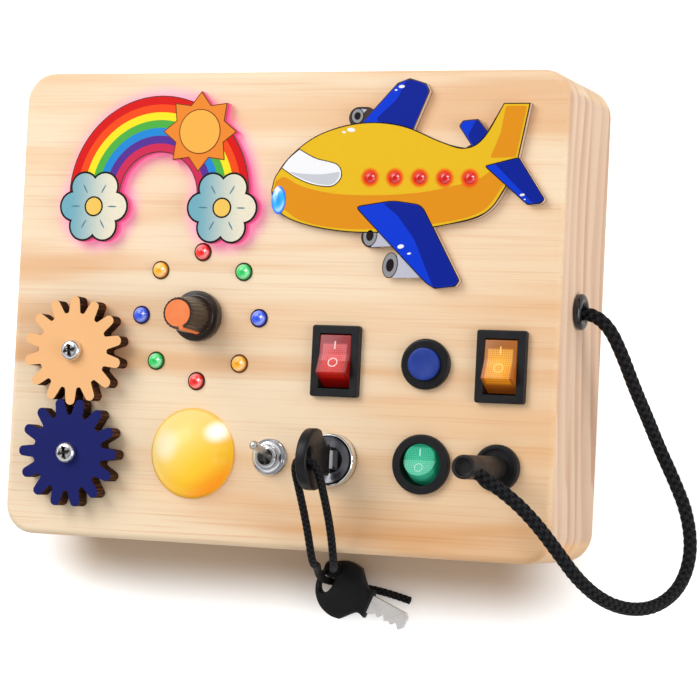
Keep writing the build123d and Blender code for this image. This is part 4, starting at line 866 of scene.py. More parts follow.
# The board's finishes.
PINE = Pine("board_pine")
BACK_PLY = Ply("back_plywood", layer=1.0)
PLANE_PLY = Ply(
    "aeroplane_plywood",
    dark_above=FACE + 2.13,
    # a painted shadow line along the plate's foot
    shadow_below=FACE + 0.35,
    layer=1.1,
    edge_pale=tint(240, 218, 200),
    edge_dark=tint(186, 140, 116),
)
RAINBOW_EDGE = Ply(
    "rainbow_edge",
    dark_above=FACE + 3.14,
    key=tint(60, 14, 28),
    edge_pale=tint(214, 84, 134),
    edge_dark=tint(170, 26, 66),
    # painted light: the plywood edges glow pink
    lit=0.25,
)
PINK_GLOW = GlowBase("pink_glow_acrylic")
KEY_LINE = Ink("print_key_line", tint(30, 20, 22))
YELLOW_INK = Ink("print_yellow", tint(239, 192, 30))
ORANGE_INK = Ink("print_orange", tint(232, 148, 20))
WHITE_INK = Ink("print_white", tint(250, 250, 252))
GREY_INK = Ink("print_light_grey", tint(206, 209, 216))
WING_BLUE = Ink("print_bright_blue", tint(0, 58, 218))
WING_DARK = Ink("print_dark_blue", tint(0, 32, 152))
ENGINE_LILAC = Ink("print_lilac_grey", tint(196, 196, 210))
ENGINE_GREY = Ink("print_grey", tint(150, 150, 154))
STAR_INK = Ink("print_star_orange", tint(244, 140, 48))
STAR_CORE = Ink("print_star_gold", tint(253, 184, 78))
BLACK_PLASTIC = Moulded("black_plastic", tint(26, 26, 29), 0.36)
WIDE_BEZEL = Moulded("button_bezel_black", tint(21, 21, 24), 0.3)
LAMP_BEZEL = Moulded("lamp_bezel", tint(58, 48, 42), 0.3)
KNOB_BLACK = Moulded("knob_brown_black", tint(46, 34, 28), 0.24, 0.01, 0.3)
POINTER_ORANGE = Moulded("pointer_orange", tint(250, 134, 76), 0.45, 0.015)
KEY_PLASTIC = Moulded("key_bow_black", tint(24, 24, 27), 0.34)
PLUG_RUBBER = Moulded("plug_handle_black", tint(34, 31, 31), 0.42)
RUBBER = Moulded("rubber_black", tint(16, 16, 18), 0.16, 0.006, 0.5, shine=0.4)
BLUE_CAP = Moulded("button_blue", tint(36, 62, 150), 0.38, 0.012)
GREY_PLASTIC = Moulded("tray_grey", tint(70, 72, 76), 0.5)
CELL_JACKET = Moulded("cell_jacket", tint(60, 96, 150), 0.3)
LEVER_STEEL = Metal("lever_steel", (0.78, 0.76, 0.72), 0.26)
CHROME = Metal("polished_chrome", (0.86, 0.86, 0.88), 0.09)
# chrome darkened as a painted dark reflection, for the lock's hollow dish and its rotor
DARK_REFLECTION_CHROME = Metal("painted_dark_reflection_chrome", (0.13, 0.13, 0.145), 0.1)
SCREW_STEEL = Metal("screw_steel", (0.74, 0.74, 0.76), 0.2)
KEY_STEEL = Metal("key_blade_steel", (0.95, 0.95, 0.95), 0.2, (0.4, 3.0, 3.0), 0.2)
ALUMINIUM = Metal("shaft_aluminium", (0.8, 0.8, 0.81), 0.3)
BRASS = Metal("brass", (0.8, 0.62, 0.3), 0.26)
SPRING_STEEL = Metal("spring_steel", (0.6, 0.6, 0.62), 0.28)
CROSS_HEAD = CrossHead("cross_head_steel", (0.84, 0.84, 0.86), 0.14)
CIRCUIT = Board("circuit_board_green")
CHARRED = Charred("laser_burnt_edge")
GEAR_PEACH = Ink("gear_peach", tint(252, 193, 134), sheen=0.5)
GEAR_NAVY = Ink("gear_navy", tint(30, 36, 104), sheen=0.36)
CORD_BRAID = Braid("black_braid")
CLEAR_LAMP = Moulded("clear_lamp", tint(236, 236, 240), 0.1, 0.0, 0.6, 0.4)
MARK_WHITE = Ink("mark_white", tint(244, 224, 222), lit=0.1)
MARK_AMBER = Ink("mark_amber", tint(250, 206, 120), lit=0.15)
MARK_GREEN = Ink("mark_green", tint(176, 232, 212), lit=0.15)
DOME = LitDome("dome_yellow_lit")

# What a lit rocker is coloured with: its core, its pressed and its raised half, and its rim; the halves'
# colours hold painted light and shade.
RED_SHADES = (tint(230, 44, 34), tint(208, 104, 108), tint(178, 22, 10), tint(112, 8, 8))
AMBER_SHADES = (tint(252, 190, 44), tint(232, 158, 62), tint(232, 140, 26), tint(126, 58, 20))
GREEN_SHADES = (tint(82, 206, 166), tint(52, 178, 138), tint(58, 182, 144), tint(10, 98, 70))


# ---- Shapes


def flowing(*runs: Sequence[Point], pieces: int = 7) -> Loop:
    """A closed outline of smooth lines that meet in corners.

    Args:
        runs: the points of each smooth line, each starting where the one before ends.
        pieces: straight pieces from one point to the next.

    Returns:
        The outline's points.
    """
    outline: Loop = []
    for run in runs:
        points = [Vector(point) for point in run]
        whole = [2 * points[0] - points[1], *points, 2 * points[-1] - points[-2]]
        for number in range(len(points) - 1):
            before, start, end, after = whole[number : number + 4]
            for piece in range(pieces):
                share = piece / pieces
                into = (end - before) * 0.5
                out = (after - start) * 0.5
                cube, square = share**3, share**2
                spot = start * (2 * cube - 3 * square + 1) + into * (cube - 2 * square + share)
                spot += end * (3 * square - 2 * cube) + out * (cube - square)
                outline.append((spot.x, spot.y))
    return outline


def rounded(points: Sequence[Point], radius: float, steps: int = 5) -> Loop:
    """A polygon with its corners eased by small curves.

    Args:
        points: its corners.
        radius: about the curves' radius, in mm; less where a side is short.
        steps: straight pieces in each curve.

    Returns:
        The outline's points.
    """
    most_of_side = 0.48
    outline: Loop = []
    count = len(points)
    for number in range(count):
        corner = Vector(points[number])
        back = Vector(points[number - 1]) - corner
        ahead = Vector(points[(number + 1) % count]) - corner
        reach = min(radius, back.length * most_of_side, ahead.length * most_of_side)
        start = corner + back.normalized() * reach
        end = corner + ahead.normalized() * reach
        for step in range(steps + 1):
            share = step / steps
            spot = start * (1 - share) ** 2 + corner * 2 * share * (1 - share) + end * share**2
            outline.append((spot.x, spot.y))
    return outline


def eased(profile: Sequence[Point], radius: float, steps: int = 4) -> Loop:
    """An open profile with its inner corners eased; its two ends stay."""
    loop = rounded(profile, radius, steps)
    return [profile[0], *loop[steps + 1 : -(steps + 1)], profile[-1]]


def polar(centre: Point, radius: float, angle: float) -> Point:
    """The point at that radius and angle (radians) from centre."""
    return centre[0] + radius * cos(angle), centre[1] + radius * sin(angle)


def oval(centre: Point, width: float, height: float, turn: float = 0.0, count: int = 40) -> Loop:
    """An ellipse as an outline.

    Args:
        centre: its middle.
        width, height: its size, in mm.
        turn: how far it is turned, in degrees.
        count: how many points it has.

    Returns:
        The outline's points.
    """
    outline: Loop = []
    tilt = radians(turn)
    for number in range(count):
        angle = tau * number / count
        x = width / 2 * cos(angle)
        y = height / 2 * sin(angle)
        across = centre[0] + x * cos(tilt) - y * sin(tilt)
        outline.append((across, centre[1] + x * sin(tilt) + y * cos(tilt)))
    return outline


def inset(loop: Loop, distance: float) -> Loop:
    """The outline moved inwards; points that come too near another side are left out.

    Args:
        loop: the outline.
        distance: how far inwards, in mm; outwards if negative.

    Returns:
        The moved outline.
    """
    sharpest = 0.35  # no corner moves further than distance over this
    clearance = 0.93  # the share of distance that a point keeps from every side
    count = len(loop)
    area = sum(loop[n - 1][0] * loop[n][1] - loop[n][0] * loop[n - 1][1] for n in range(count))
    side = 1 if area > 0 else -1
    moved: Loop = []
    corners = [Vector(point) for point in loop]
    for number in range(count):
        back = (corners[number] - corners[number - 1]).normalized()
        ahead = (corners[(number + 1) % count] - corners[number]).normalized()
        tangent = (back + ahead).normalized()
        inwards = Vector((-tangent.y, tangent.x)) * side
        spread = max(sharpest, abs(Vector((-back.y, back.x)) @ Vector((-tangent.y, tangent.x))))
        spot = corners[number] + inwards * (distance / spread)
        clear = min((spot - _nearest(spot, corners[k - 1], corners[k])).length for k in range(count))
        if clear > abs(distance) * clearance:
            moved.append((spot.x, spot.y))
    return moved


def _nearest(spot: Vector, start: Vector, end: Vector) -> Vector:
    """Find the point of a straight piece that is nearest to spot.

    Args:
        spot: the point to start from.
        start, end: the piece's two ends.

    Returns:
        The nearest point.
    """
    if (end - start).length < 1e-9:
        return start
    place, share = intersect_point_line(spot, start, end)
    return start if share < 0 else end if share > 1 else place


def plain_mesh(stand_in: Object) -> Mesh:
    """Turn an object as it is evaluated into a plain mesh, and take the object away.

    Args:
        stand_in: the curve, or the mesh with its modifier.

    Returns:
        The plain mesh.
    """
    graph = bpy.context.evaluated_depsgraph_get()
    mesh = bpy.data.meshes.new_from_object(stand_in.evaluated_get(graph))
    stand_in.modifiers.clear()
    bpy.data.objects.remove(stand_in)
    return mesh


def linked(name: str, data: bpy.types.ID) -> Object:
    """Put a mesh, curve, camera or light into the scene.

    Args:
        name: the object's name.
        data: what it shows.

    Returns:
        The object.
    """
    made = bpy.data.objects.new(name, data)
    bpy.context.scene.collection.objects.link(made)
    return made


def to_object(
    name: str,
    mesh: Mesh,
    finish: Finish,
    turn: Optional[Matrix] = None,
    sharp: float = 38.0,
) -> Object:
    """Finish a mesh that is in millimetres as a piece in metres.

    Args:
        name: the piece's name.
        mesh: its mesh.
        finish: its finish, used where the mesh has none.
        turn: where the mesh goes, in millimetres.
        sharp: the angle from which an edge is sharp, in degrees.

    Returns:
        The piece.
    """
    form = bmesh.new()
    form.from_mesh(mesh)
    bmesh.ops.remove_doubles(form, verts=form.verts, dist=0.0004)
    if turn:
        form.transform(turn)
    form.transform(Matrix.Scale(MM, 4))
    bmesh.ops.recalc_face_normals(form, faces=form.faces)
    form.to_mesh(mesh)
    form.free()
    mesh.name = name
    if not mesh.materials:
        mesh.materials.append(finish.material())
    mesh.shade_smooth()
    mesh.set_sharp_from_angle(angle=radians(sharp))
    return linked(name, mesh)


def plate(
    name: str,
    loops: Sequence[Loop],
    bottom: float,
    top: float,
    finish: Finish,
    ease: float = 0.0,
    turn: Optional[Matrix] = None,
) -> Object:
    """A flat plate with an outline and holes.

    Args:
        name: the piece's name.
        loops: its outlines and holes, in mm.
        bottom, top: its two faces' heights, in mm.
        finish: its finish.
        ease: the radius of its edges, in mm.
        turn: where the plate goes, in mm.

    Returns:
        The piece.
    """
    curve = bpy.data.curves.new(name, "CURVE")
    curve.dimensions = "2D"
    curve.fill_mode = "BOTH"
    curve.extrude = (top - bottom) / 2 - ease
    curve.bevel_depth = ease
    curve.bevel_resolution = 2
    curve.offset = -ease
    for loop in loops:
        spline = curve.splines.new("POLY")
        spline.points.add(len(loop) - 1)
        for point, (x, y) in zip(spline.points, loop):
            point.co = (x, y, 0.0, 1.0)
        spline.use_cyclic_u = True
    mesh = plain_mesh(linked(name + "_curve", curve))
    bpy.data.curves.remove(curve)
    mesh.transform(Matrix.Translation((0, 0, (top + bottom) / 2)))
    return to_object(name, mesh, finish, turn)


def turned(
    name: str,
    profiles: Sequence[Sequence[Point]],
    centres: Sequence[Point],
    finish: Finish,
    sides: int = 64,
    ripple: Optional[Callable[[float, float, float], float]] = None,
    turn: Optional[Matrix] = None,
) -> Object:
    """Shapes turned on a lathe.

    Args:
        name: the piece's name.
        profiles: closed half sections as (radius, height) in mm; a point at radius 0 is a pole.
        centres: where each shape stands, in mm.
        finish: its finish.
        sides: faces round the axis.
        ripple: gives the radius anew from (radius, height, angle).
        turn: where the whole goes, in mm.

    Returns:
        The piece.
    """
    form = bmesh.new()
    for across, up in centres:
        for profile in profiles:
            rings = []
            for radius, height in profile:
                if radius < 1e-6:
                    rings.append([form.verts.new((across, up, height))] * sides)
                    continue
                ring = []
                for number in range(sides):
                    angle = tau * number / sides
                    reach = ripple(radius, height, angle) if ripple else radius
                    ring.append(form.verts.new((*polar((across, up), reach, angle), height)))
                rings.append(ring)
            for number in range(len(rings)):
                low, high = rings[number - 1], rings[number]
                for k in range(sides):
                    own = list(dict.fromkeys([low[k - 1], low[k], high[k], high[k - 1]]))
                    if len(own) > 2:
                        form.faces.new(own)
    mesh = bpy.data.meshes.new(name)
    form.to_mesh(mesh)
    form.free()
    return to_object(name, mesh, finish, turn)


def merged(name: str, pieces: Sequence[Object]) -> Object:
    """Make one piece of several, with all their materials.

    Args:
        name: the new piece's name.
        pieces: what it is made of; they are taken away.

    Returns:
        The new piece.
    """
    form = bmesh.new()
    materials: list[Material] = []
    for piece in pieces:
        first = len(form.faces)
        form.from_mesh(piece.data)
        form.faces.ensure_lookup_table()
        for face in form.faces[first:]:
            material = piece.data.materials[face.material_index]
            if material not in materials:
                materials.append(material)
            face.material_index = materials.index(material)
    mesh = bpy.data.meshes.new(name)
    form.to_mesh(mesh)
    form.free()
    for material in materials:
        mesh.materials.append(material)
    for piece in pieces:
        old = piece.data
        bpy.data.objects.remove(piece)
        bpy.data.meshes.remove(old)
    return linked(name, mesh)


def dress(nodes: Iterable[str], finish: Finish) -> None:
    """Give CAD nodes a finish."""
    for slot in (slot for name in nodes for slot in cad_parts[name].material_slots):
        slot.material = finish.material()


def settle(piece: Object, body: str, slot: str, *nodes: str) -> Object:
    """Let a piece ride on a body and stand for CAD nodes.

    Args:
        piece: the piece.
        body: the body's name.
        slot: not used.
        nodes: the nodes that it replaces, if any.

    Returns:
        The same piece.
    """
    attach(piece, body)
    if nodes:
        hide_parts(*nodes)
    LOG.info("%s rides on %s", piece.name, body)
    return piece


# ---- Geometry Nodes


class Recipe(Tree):
    """A Geometry Nodes tree with named inputs for its sizes."""

    def __init__(self, name: str) -> None:
        """Start an empty tree.

        Args:
            name: its name.
        """
        super().__init__(bpy.data.node_groups.new(name, "GeometryNodeTree"))
        self.tree.interface.new_socket("Geometry", in_out="OUTPUT", socket_type="NodeSocketGeometry")
        self.inlet = self.tree.nodes.new("NodeGroupInput")
        self.sizes: dict[str, float] = {}

    def size(self, name: str, value: float) -> Wire:
        """Add a named input.

        Args:
            name: the input's name.
            value: what it is set to.

        Returns:
            The wire that carries it.
        """
        kind = "NodeSocketInt" if isinstance(value, int) else "NodeSocketFloat"
        made = self.tree.interface.new_socket(name, in_out="INPUT", socket_type=kind)
        self.sizes[made.identifier] = value
        return Wire(self, self.inlet.outputs[name])

    def circle(self, resolution: Value, radius: Value = 1.0) -> Wire:
        """A round closed curve about the origin."""
        sizes = {"Resolution": resolution, "Radius": radius}
        return self.node("GeometryNodeCurvePrimitiveCircle", {"mode": "RADIUS"}, sizes)

    def make(self, name: str, finish: Finish, geometry: Wire) -> Mesh:
        """Close the tree, run it once and return the plain mesh.

        Args:
            name: the mesh's name.
            finish: the finish that the whole gets first.
            geometry: the last geometry.

        Returns:
            The mesh, in the tree's own millimetres.
        """
        real = self.node("GeometryNodeRealizeInstances", inputs={0: geometry})
        painted = self.node("GeometryNodeSetMaterial", inputs={0: real, "Material": finish.material()})
        self.node("NodeGroupOutput", inputs={0: painted})
        host = linked(name, bpy.data.meshes.new(name + "_host"))
        modifier = host.modifiers.new(name, "NODES")
        modifier.node_group = self.tree
        for identifier, value in self.sizes.items():
            modifier[identifier] = value
        mesh = plain_mesh(host)
        mesh.materials.clear()
        mesh.materials.append(finish.material())
        return mesh


# ---- Sub-assemblies


@dataclass
class Case:
    """The pine case, its plywood back, the battery box and what is fixed inside."""

    def dress(self) -> None:
        """Give every fixed CAD node its finish."""
        dress(["wooden_case"], PINE)
        dress(["back_cover"], BACK_PLY)
        dress(["back_screws", "board_screws", "panel_nuts", "potentiometer"], SCREW_STEEL)
        dress(["battery_tray", "battery_door", "gear_spacers"], GREY_PLASTIC)
        dress(["battery_cells"], CELL_JACKET)
        dress(["battery_contacts"], SPRING_STEEL)
        dress(["control_board", "ring_circuit_board", "dome_lamp_board"], CIRCUIT)
        dress(["board_standoffs", "switch_terminals"], BRASS)
        dress(["backlight_leds"], CLEAR_LAMP)
        frames = [f"{colour}_switch_frame" for colour in ("red", "amber", "green")]
        dress([*frames, "jack_socket"], BLACK_PLASTIC)
        dress(["button_housing"], WIDE_BEZEL)
        dress(["pot_shaft", "plug_barrel"], ALUMINIUM)
        dress(["toggle_switch"], CHROME)
        dress(["toggle_lever"], LEVER_STEEL)
        dress(["lock_rotor"], DARK_REFLECTION_CHROME)
        dress(["lock_key_blade", "spare_key_blade"], KEY_STEEL)
        dress(["cord_stop_knot", "key_cord_knot"], CORD_BRAID)
        dress(["gear_screws"], CROSS_HEAD)


@dataclass
class Gears:
    """The two meshing wooden gears, laser-cut, each turning on its screw."""

    teeth: int = 14
    tip: float = 16.5
    root: float = 11.5
    half_root: float = 1.86  # half a tooth's width at its root
    tip_radius: float = 1.55
    bore: float = 2.1
    bottom: float = 43.0
    thickness: float = 5.2
    samples: int = 48  # points along one tooth's pitch
    tip_steps: int = 8
    fillet: float = 0.5  # mm above the root where a tooth starts to widen
    flare: float = 1.14  # how much wider it is at the root itself
    upper: Point = (-64.0, -14.7)
    lower: Point = (-64.0, -45.7)

    def tooth(self) -> list[Point]:
        """Draw half a tooth's profile.

        Returns:
            Points as (share of the half pitch, share of the height).
        """
        half_pitch = pi / self.teeth
        cap = self.tip - self.tip_radius
        height = self.tip - self.root
        points = []
        for step in range(self.tip_steps + 1):
            angle = pi / 2 * step / self.tip_steps
            across = self.tip_radius * sin(angle) / cap
            up = cap + self.tip_radius * cos(angle) - self.root
            points.append((across / half_pitch, up / height))
        points.append((self.half_root / (self.root + self.fillet) / half_pitch, self.fillet / height))
        points.append((self.half_root / self.root / half_pitch * self.flare, 0.0))
        points.append((1.0, 0.0))
        return points

    def gear(self, name: str, centre: Point, first: float, face: Finish) -> Object:
        """Cut one gear.

        Args:
            name: the gear's name.
            centre: its axis.
            first: the angle of one of its teeth, in degrees.
            face: the finish of its two faces.

        Returns:
            The piece.
        """
        cut = Recipe(name + "_cut")
        teeth = cut.size("Teeth", self.teeth)
        tip = cut.size("Tip Radius", self.tip)
        root = cut.size("Root Radius", self.root)
        bore = cut.size("Bore Radius", self.bore)
        thick = cut.size("Thickness", self.thickness)
        bottom = cut.size("Bottom", self.bottom)
        start = cut.size("First Tooth", radians(first))
        across = cut.size("Axis X", centre[0])
        up = cut.size("Axis Y", centre[1])
        rim = cut.circle(teeth * float(self.samples))
        share = cut.node("GeometryNodeInputIndex") / float(self.samples)
        phase = ((share + 0.5).part() - 0.5).size()
        shape = cut.node("ShaderNodeFloatCurve", {"line": self.tooth()}, {"Value": phase * 2.0})
        reach = root + shape * (tip - root)
        angle = start + share * tau / teeth
        spot = cut.vector(reach * angle.cosine(), reach * angle.sine())
        toothed = cut.node("GeometryNodeSetPosition", inputs={"Geometry": rim, "Position": spot})
        both = cut.node("GeometryNodeJoinGeometry", inputs={0: [toothed, cut.circle(48, bore)]})
        flat = cut.node("GeometryNodeFillCurve", {"mode": "TRIANGLES"}, {"Curve": both})
        lift = {"Mesh": flat, "Offset Scale": thick, "Individual": False}
        raised = cut.node("GeometryNodeExtrudeMesh", {"mode": "FACES"}, lift)
        under = cut.node("GeometryNodeFlipFaces", inputs={"Mesh": flat})
        whole = cut.node("GeometryNodeJoinGeometry", inputs={0: [raised, under]})
        place = {"Geometry": whole, "Translation": cut.vector(across, up, bottom)}
        moved = cut.node("GeometryNodeTransform", inputs=place)
        mesh = cut.make(name, CHARRED, moved)
        piece = to_object(name, mesh, CHARRED, sharp=42.0)
        piece.data.materials.append(face.material())
        for polygon in piece.data.polygons:
            polygon.material_index = 1 if abs(polygon.normal.z) > 0.9 else 0
        return piece

    def build(self) -> None:
        """Cut both gears and set them in mesh."""
        upper = self.gear("peach_gear", self.upper, -90.0, GEAR_PEACH)
        settle(upper, "upper_gear", "gear_orange", "upper_gear")
        lower = self.gear("navy_gear", self.lower, 90 + 180 / self.teeth, GEAR_NAVY)
        settle(lower, "lower_gear", "gear_navy", "lower_gear")


@dataclass
class LampRing:
    """Eight coloured lamps round the knob, each in its black bezel."""

    centre: Point = (-25.0, -3.0)
    radius: float = 19.4
    bezel: float = 2.8
    hole: float = 2.56
    bezel_top: float = 42.4
    count: int = 8

    def dress(self) -> None:
        """Colour the lenses."""
        shades = {
            "red": (tint(238, 40, 36), tint(120, 8, 12)),
            "green": (tint(52, 208, 104), tint(10, 96, 44)),
            "blue": (tint(52, 92, 232), tint(14, 26, 130)),
            "yellow": (tint(250, 178, 36), tint(160, 84, 8)),
        }
        for name, (colour, deep) in shades.items():
            finish = Jewel(f"{name}_lamp_lens", colour, deep, Layout.RING, self.centre)
            dress([f"{name}_ring_leds"], finish)

    def build(self) -> None:
        """Set a bezel at each lamp."""
        ring = Recipe("bezel_ring")
        count = ring.size("Lamps", self.count)
        radius = ring.size("Ring Radius", self.radius)
        outer = ring.size("Bezel Radius", self.bezel)
        inner = ring.size("Hole Radius", self.hole)
        height = ring.size("Bezel Height", self.bezel_top - FACE)
        spots = ring.node("GeometryNodeMeshCircle", inputs={"Vertices": count, "Radius": radius})
        half = (outer - inner) / 2.0
        loops = {"Curve": ring.circle(40, (outer + inner) / 2.0), "Profile Curve": ring.circle(12, half)}
        round_ring = ring.node("GeometryNodeCurveToMesh", inputs=loops)
        flatten = {"Geometry": round_ring, "Scale": ring.vector(1.0, 1.0, height / half)}
        flat = ring.node("GeometryNodeTransform", inputs=flatten)
        placed = ring.node("GeometryNodeInstanceOnPoints", inputs={"Points": spots, "Instance": flat})
        mesh = ring.make("lamp_bezels", LAMP_BEZEL, placed)
        mesh.transform(Matrix.Translation((*self.centre, FACE)))
        piece = to_object("lamp_bezels", mesh, LAMP_BEZEL)
        settle(piece, "case", "black_plastic", "led_bezels")


@dataclass
class Knob:
    """The control knob: a skirt, a fluted cone and an orange cap with its pointer."""

    centre: Point = (-25.0, -3.0)
    bottom: float = 42.5
    skirt: float = 7.6
    skirt_top: float = 45.5
    foot: float = 5.75
    top: float = 57.8
    neck: float = 4.75
    flutes: int = 24
    flute_depth: float = 0.16
    flute_from: float = 0.9  # mm above the skirt
    flute_run: float = 1.2  # mm from there until a flute is full
    flute_rim: float = 0.35  # mm of the top's edge that the flutes reach
    cap: float = 4.02
    cap_deep: float = 0.8
    ease: float = 0.55

    def build(self) -> None:
        """Turn the knob and its flutes."""
        profile = eased(
            [
                (0.0, self.bottom), (self.skirt, self.bottom), (self.skirt, self.skirt_top),
                (self.foot, self.skirt_top), (self.neck, self.top), (self.cap, self.top),
                (self.cap, self.top - self.cap_deep), (0.0, self.top - self.cap_deep),
            ],
            self.ease,
        )

        def flute(radius: float, height: float, angle: float) -> float:
            """Pull the cone's side in between its ribs.

            Args:
                radius, height, angle: a point of the plain cone.

            Returns:
                Its new radius.
            """
            share = min(1.0, max(0.0, (height - self.skirt_top - self.flute_from) / self.flute_run))
            share *= 1.0 if radius > self.neck - self.flute_rim else 0.0
            wave = (1 - cos(angle * self.flutes)) / 2
            return radius - self.flute_depth * share * wave

        rows: Loop = []
        steps = 8  # the cone's long side in pieces
        for number, (radius, height) in enumerate(profile):
            wide, low = profile[number - 1]
            if number and height - low > 4:
                for step in range(1, steps):
                    share = step / steps
                    rows.append((wide + (radius - wide) * share, low + (height - low) * share))
            rows.append((radius, height))
        piece = turned("fluted_knob", [rows], [self.centre], KNOB_BLACK, sides=192, ripple=flute)
        settle(piece, "knob", "knob_black", "knob")
        dress(["knob_cap"], POINTER_ORANGE)


@dataclass
class Dome:
    """The big yellow lamp."""

    centre: Point = (-25.0, -44.0)
    lip: float = 13.5
    lip_top: float = 42.8
    top: float = 50.8
    neck: float = 11.5
    inside: float = 38.5
    shoulder: float = 0.5
    foot_cut: float = 0.15  # the chamfers of the lip's lower and upper edge
    lip_cut: float = 0.2
    rings: int = 22

    def build(self) -> None:
        """Turn the dome on its lip."""
        rise = self.top - self.lip_top
        bulge = self.lip - self.shoulder
        sphere = (bulge * bulge + rise * rise) / (2 * rise)
        crown = []
        widest = asin(bulge / sphere)
        for step in range(self.rings, -1, -1):
            angle = widest * step / self.rings
            crown.append((sphere * sin(angle), self.top - sphere + sphere * cos(angle)))
        crown[-1] = (0.0, self.top)
        profile = [
            (0.0, self.inside), (self.neck, self.inside), (self.neck, FACE),
            (self.lip - self.foot_cut, FACE), (self.lip, FACE + self.foot_cut),
            (self.lip, self.lip_top - self.lip_cut), (self.lip - self.lip_cut, self.lip_top),
            *crown,
        ]
        piece = turned("yellow_dome", [profile], [self.centre], DOME, sides=96)
        settle(piece, "case", "dome_yellow", "dome_lens")


class Half(Enum):
    """The two halves of a rocker."""

    ON = 1.0
    OFF = -1.0


def tipped(centre: Point, pivot: float, tilt: float) -> Matrix:
    """Find a tipped rocker's own axes: across the switch, along it and up from its face.

    Args:
        centre: the switch's middle.
        pivot: its pivot's height, in mm.
        tilt: how far it is tipped, in degrees.

    Returns:
        The axes, in mm.
    """
    angle = radians(tilt)
    across = Vector((1, 0, 0))
    along = Vector((0, cos(angle), -sin(angle)))
    up = Vector((0, sin(angle), cos(angle)))
    turn = Matrix((across, along, up)).transposed().to_4x4()
    return Matrix.Translation((*centre, pivot)) @ turn


@dataclass
class Marks:
    """The I on a rocker's half that is pressed in and the O on the other."""

    colour: str
    ink: Finish
    half_stroke: float
    line: Span  # where the I starts and ends along the rocker
    ring_at: float  # the O's middle along the rocker
    ring: Span  # the O's outer and inner width
    depth: Span = (-0.02, 0.05)
    ease: float = 0.1

    def build(self, valley: Matrix, slope: float) -> None:
        """Print both marks.

        Args:
            valley: the rocker's own axes, moved up to the line between its halves.
            slope: how far each half rises from there, in radians.
        """
        side = self.half_stroke
        near, far = self.line
        stroke = rounded([(-side, near), (side, near), (side, far), (-side, far)], self.ease)
        loops = {Half.ON: [stroke], Half.OFF: [oval((0, self.ring_at), wide, wide) for wide in self.ring]}
        pieces = []
        for half in Half:
            seat = valley @ Matrix.Rotation(half.value * slope, 4, "X")
            name = f"{self.colour}_{half.name.lower()}"
            pieces.append(plate(name, loops[half], *self.depth, self.ink, turn=seat))
        body = f"{self.colour}_rocker"
        settle(merged(f"{body}_marks", pieces), body, body)


@dataclass
class RockerSwitch:
    """A rectangular rocker of clear plastic with its I and O marks."""

    colour: str
    centre: Point
    shades: tuple[Colour, ...]
    ink: Finish
    pivot: float = 37.7
    tilt: float = 15.0
    half_width: float = 4.85
    section: Points = (
        (-5.8, 8.0), (-7.9, 0.0), (-6.4, -3.0), (6.4, -3.0), (7.9, 0.0), (5.8, 8.0), (0.0, 7.0),
    )
    ease: float = 0.32

    def rocker(self, own: Matrix) -> Object:
        """Mould the rocker.

        Args:
            own: its own axes.

        Returns:
            The rocker.
        """
        form = bmesh.new()
        near = [form.verts.new((-self.half_width, along, up)) for along, up in self.section]
        far = [form.verts.new((self.half_width, along, up)) for along, up in self.section]
        form.faces.new(near)
        form.faces.new(far[::-1])
        for k in range(len(near)):
            form.faces.new([near[k - 1], far[k - 1], far[k], near[k]])
        bmesh.ops.recalc_face_normals(form, faces=form.faces)
        bmesh.ops.bevel(form, geom=form.edges[:], offset=self.ease, segments=3, profile=0.6, affect="EDGES")
        mesh = bpy.data.meshes.new(self.colour)
        form.to_mesh(mesh)
        form.free()
        finish = LitRocker(f"{self.colour}_rocker_lit", self.centre, *self.shades)
        return to_object(f"{self.colour}_clear_rocker", mesh, finish, own)

    def build(self) -> None:
        """Mould the rocker and print its marks."""
        own = tipped(self.centre, self.pivot, self.tilt)
        body = f"{self.colour}_rocker"
        settle(self.rocker(own), body, body, body)
        (tip, top), (_, valley) = self.section[-2:]
        marks = Marks(self.colour, self.ink, 0.19, (1.7, 4.0), -2.5, (3.0, 2.4))
        marks.build(own @ Matrix.Translation((0, 0, valley)), atan2(top - valley, tip))


@dataclass
class RoundSwitch:
    """The round green rocker switch."""

    centre: Point = (48.0, -44.0)
    pivot: float = 38.4
    tilt: float = 12.0
    valley: float = 5.9
    rise: float = 0.8
    tip: float = 4.7
    half_width: float = 5.6

    def build(self) -> None:
        """Finish the rocker and print its marks."""
        green = LitRocker("green_rocker_lit", self.centre, *GREEN_SHADES, half_width=self.half_width)
        dress(["green_rocker"], green)
        own = tipped(self.centre, self.pivot, self.tilt)
        marks = Marks("green", MARK_GREEN, 0.2, (1.2, 3.3), -2.3, (2.6, 2.1))
        marks.build(own @ Matrix.Translation((0, 0, self.valley)), atan2(self.rise, self.tip))


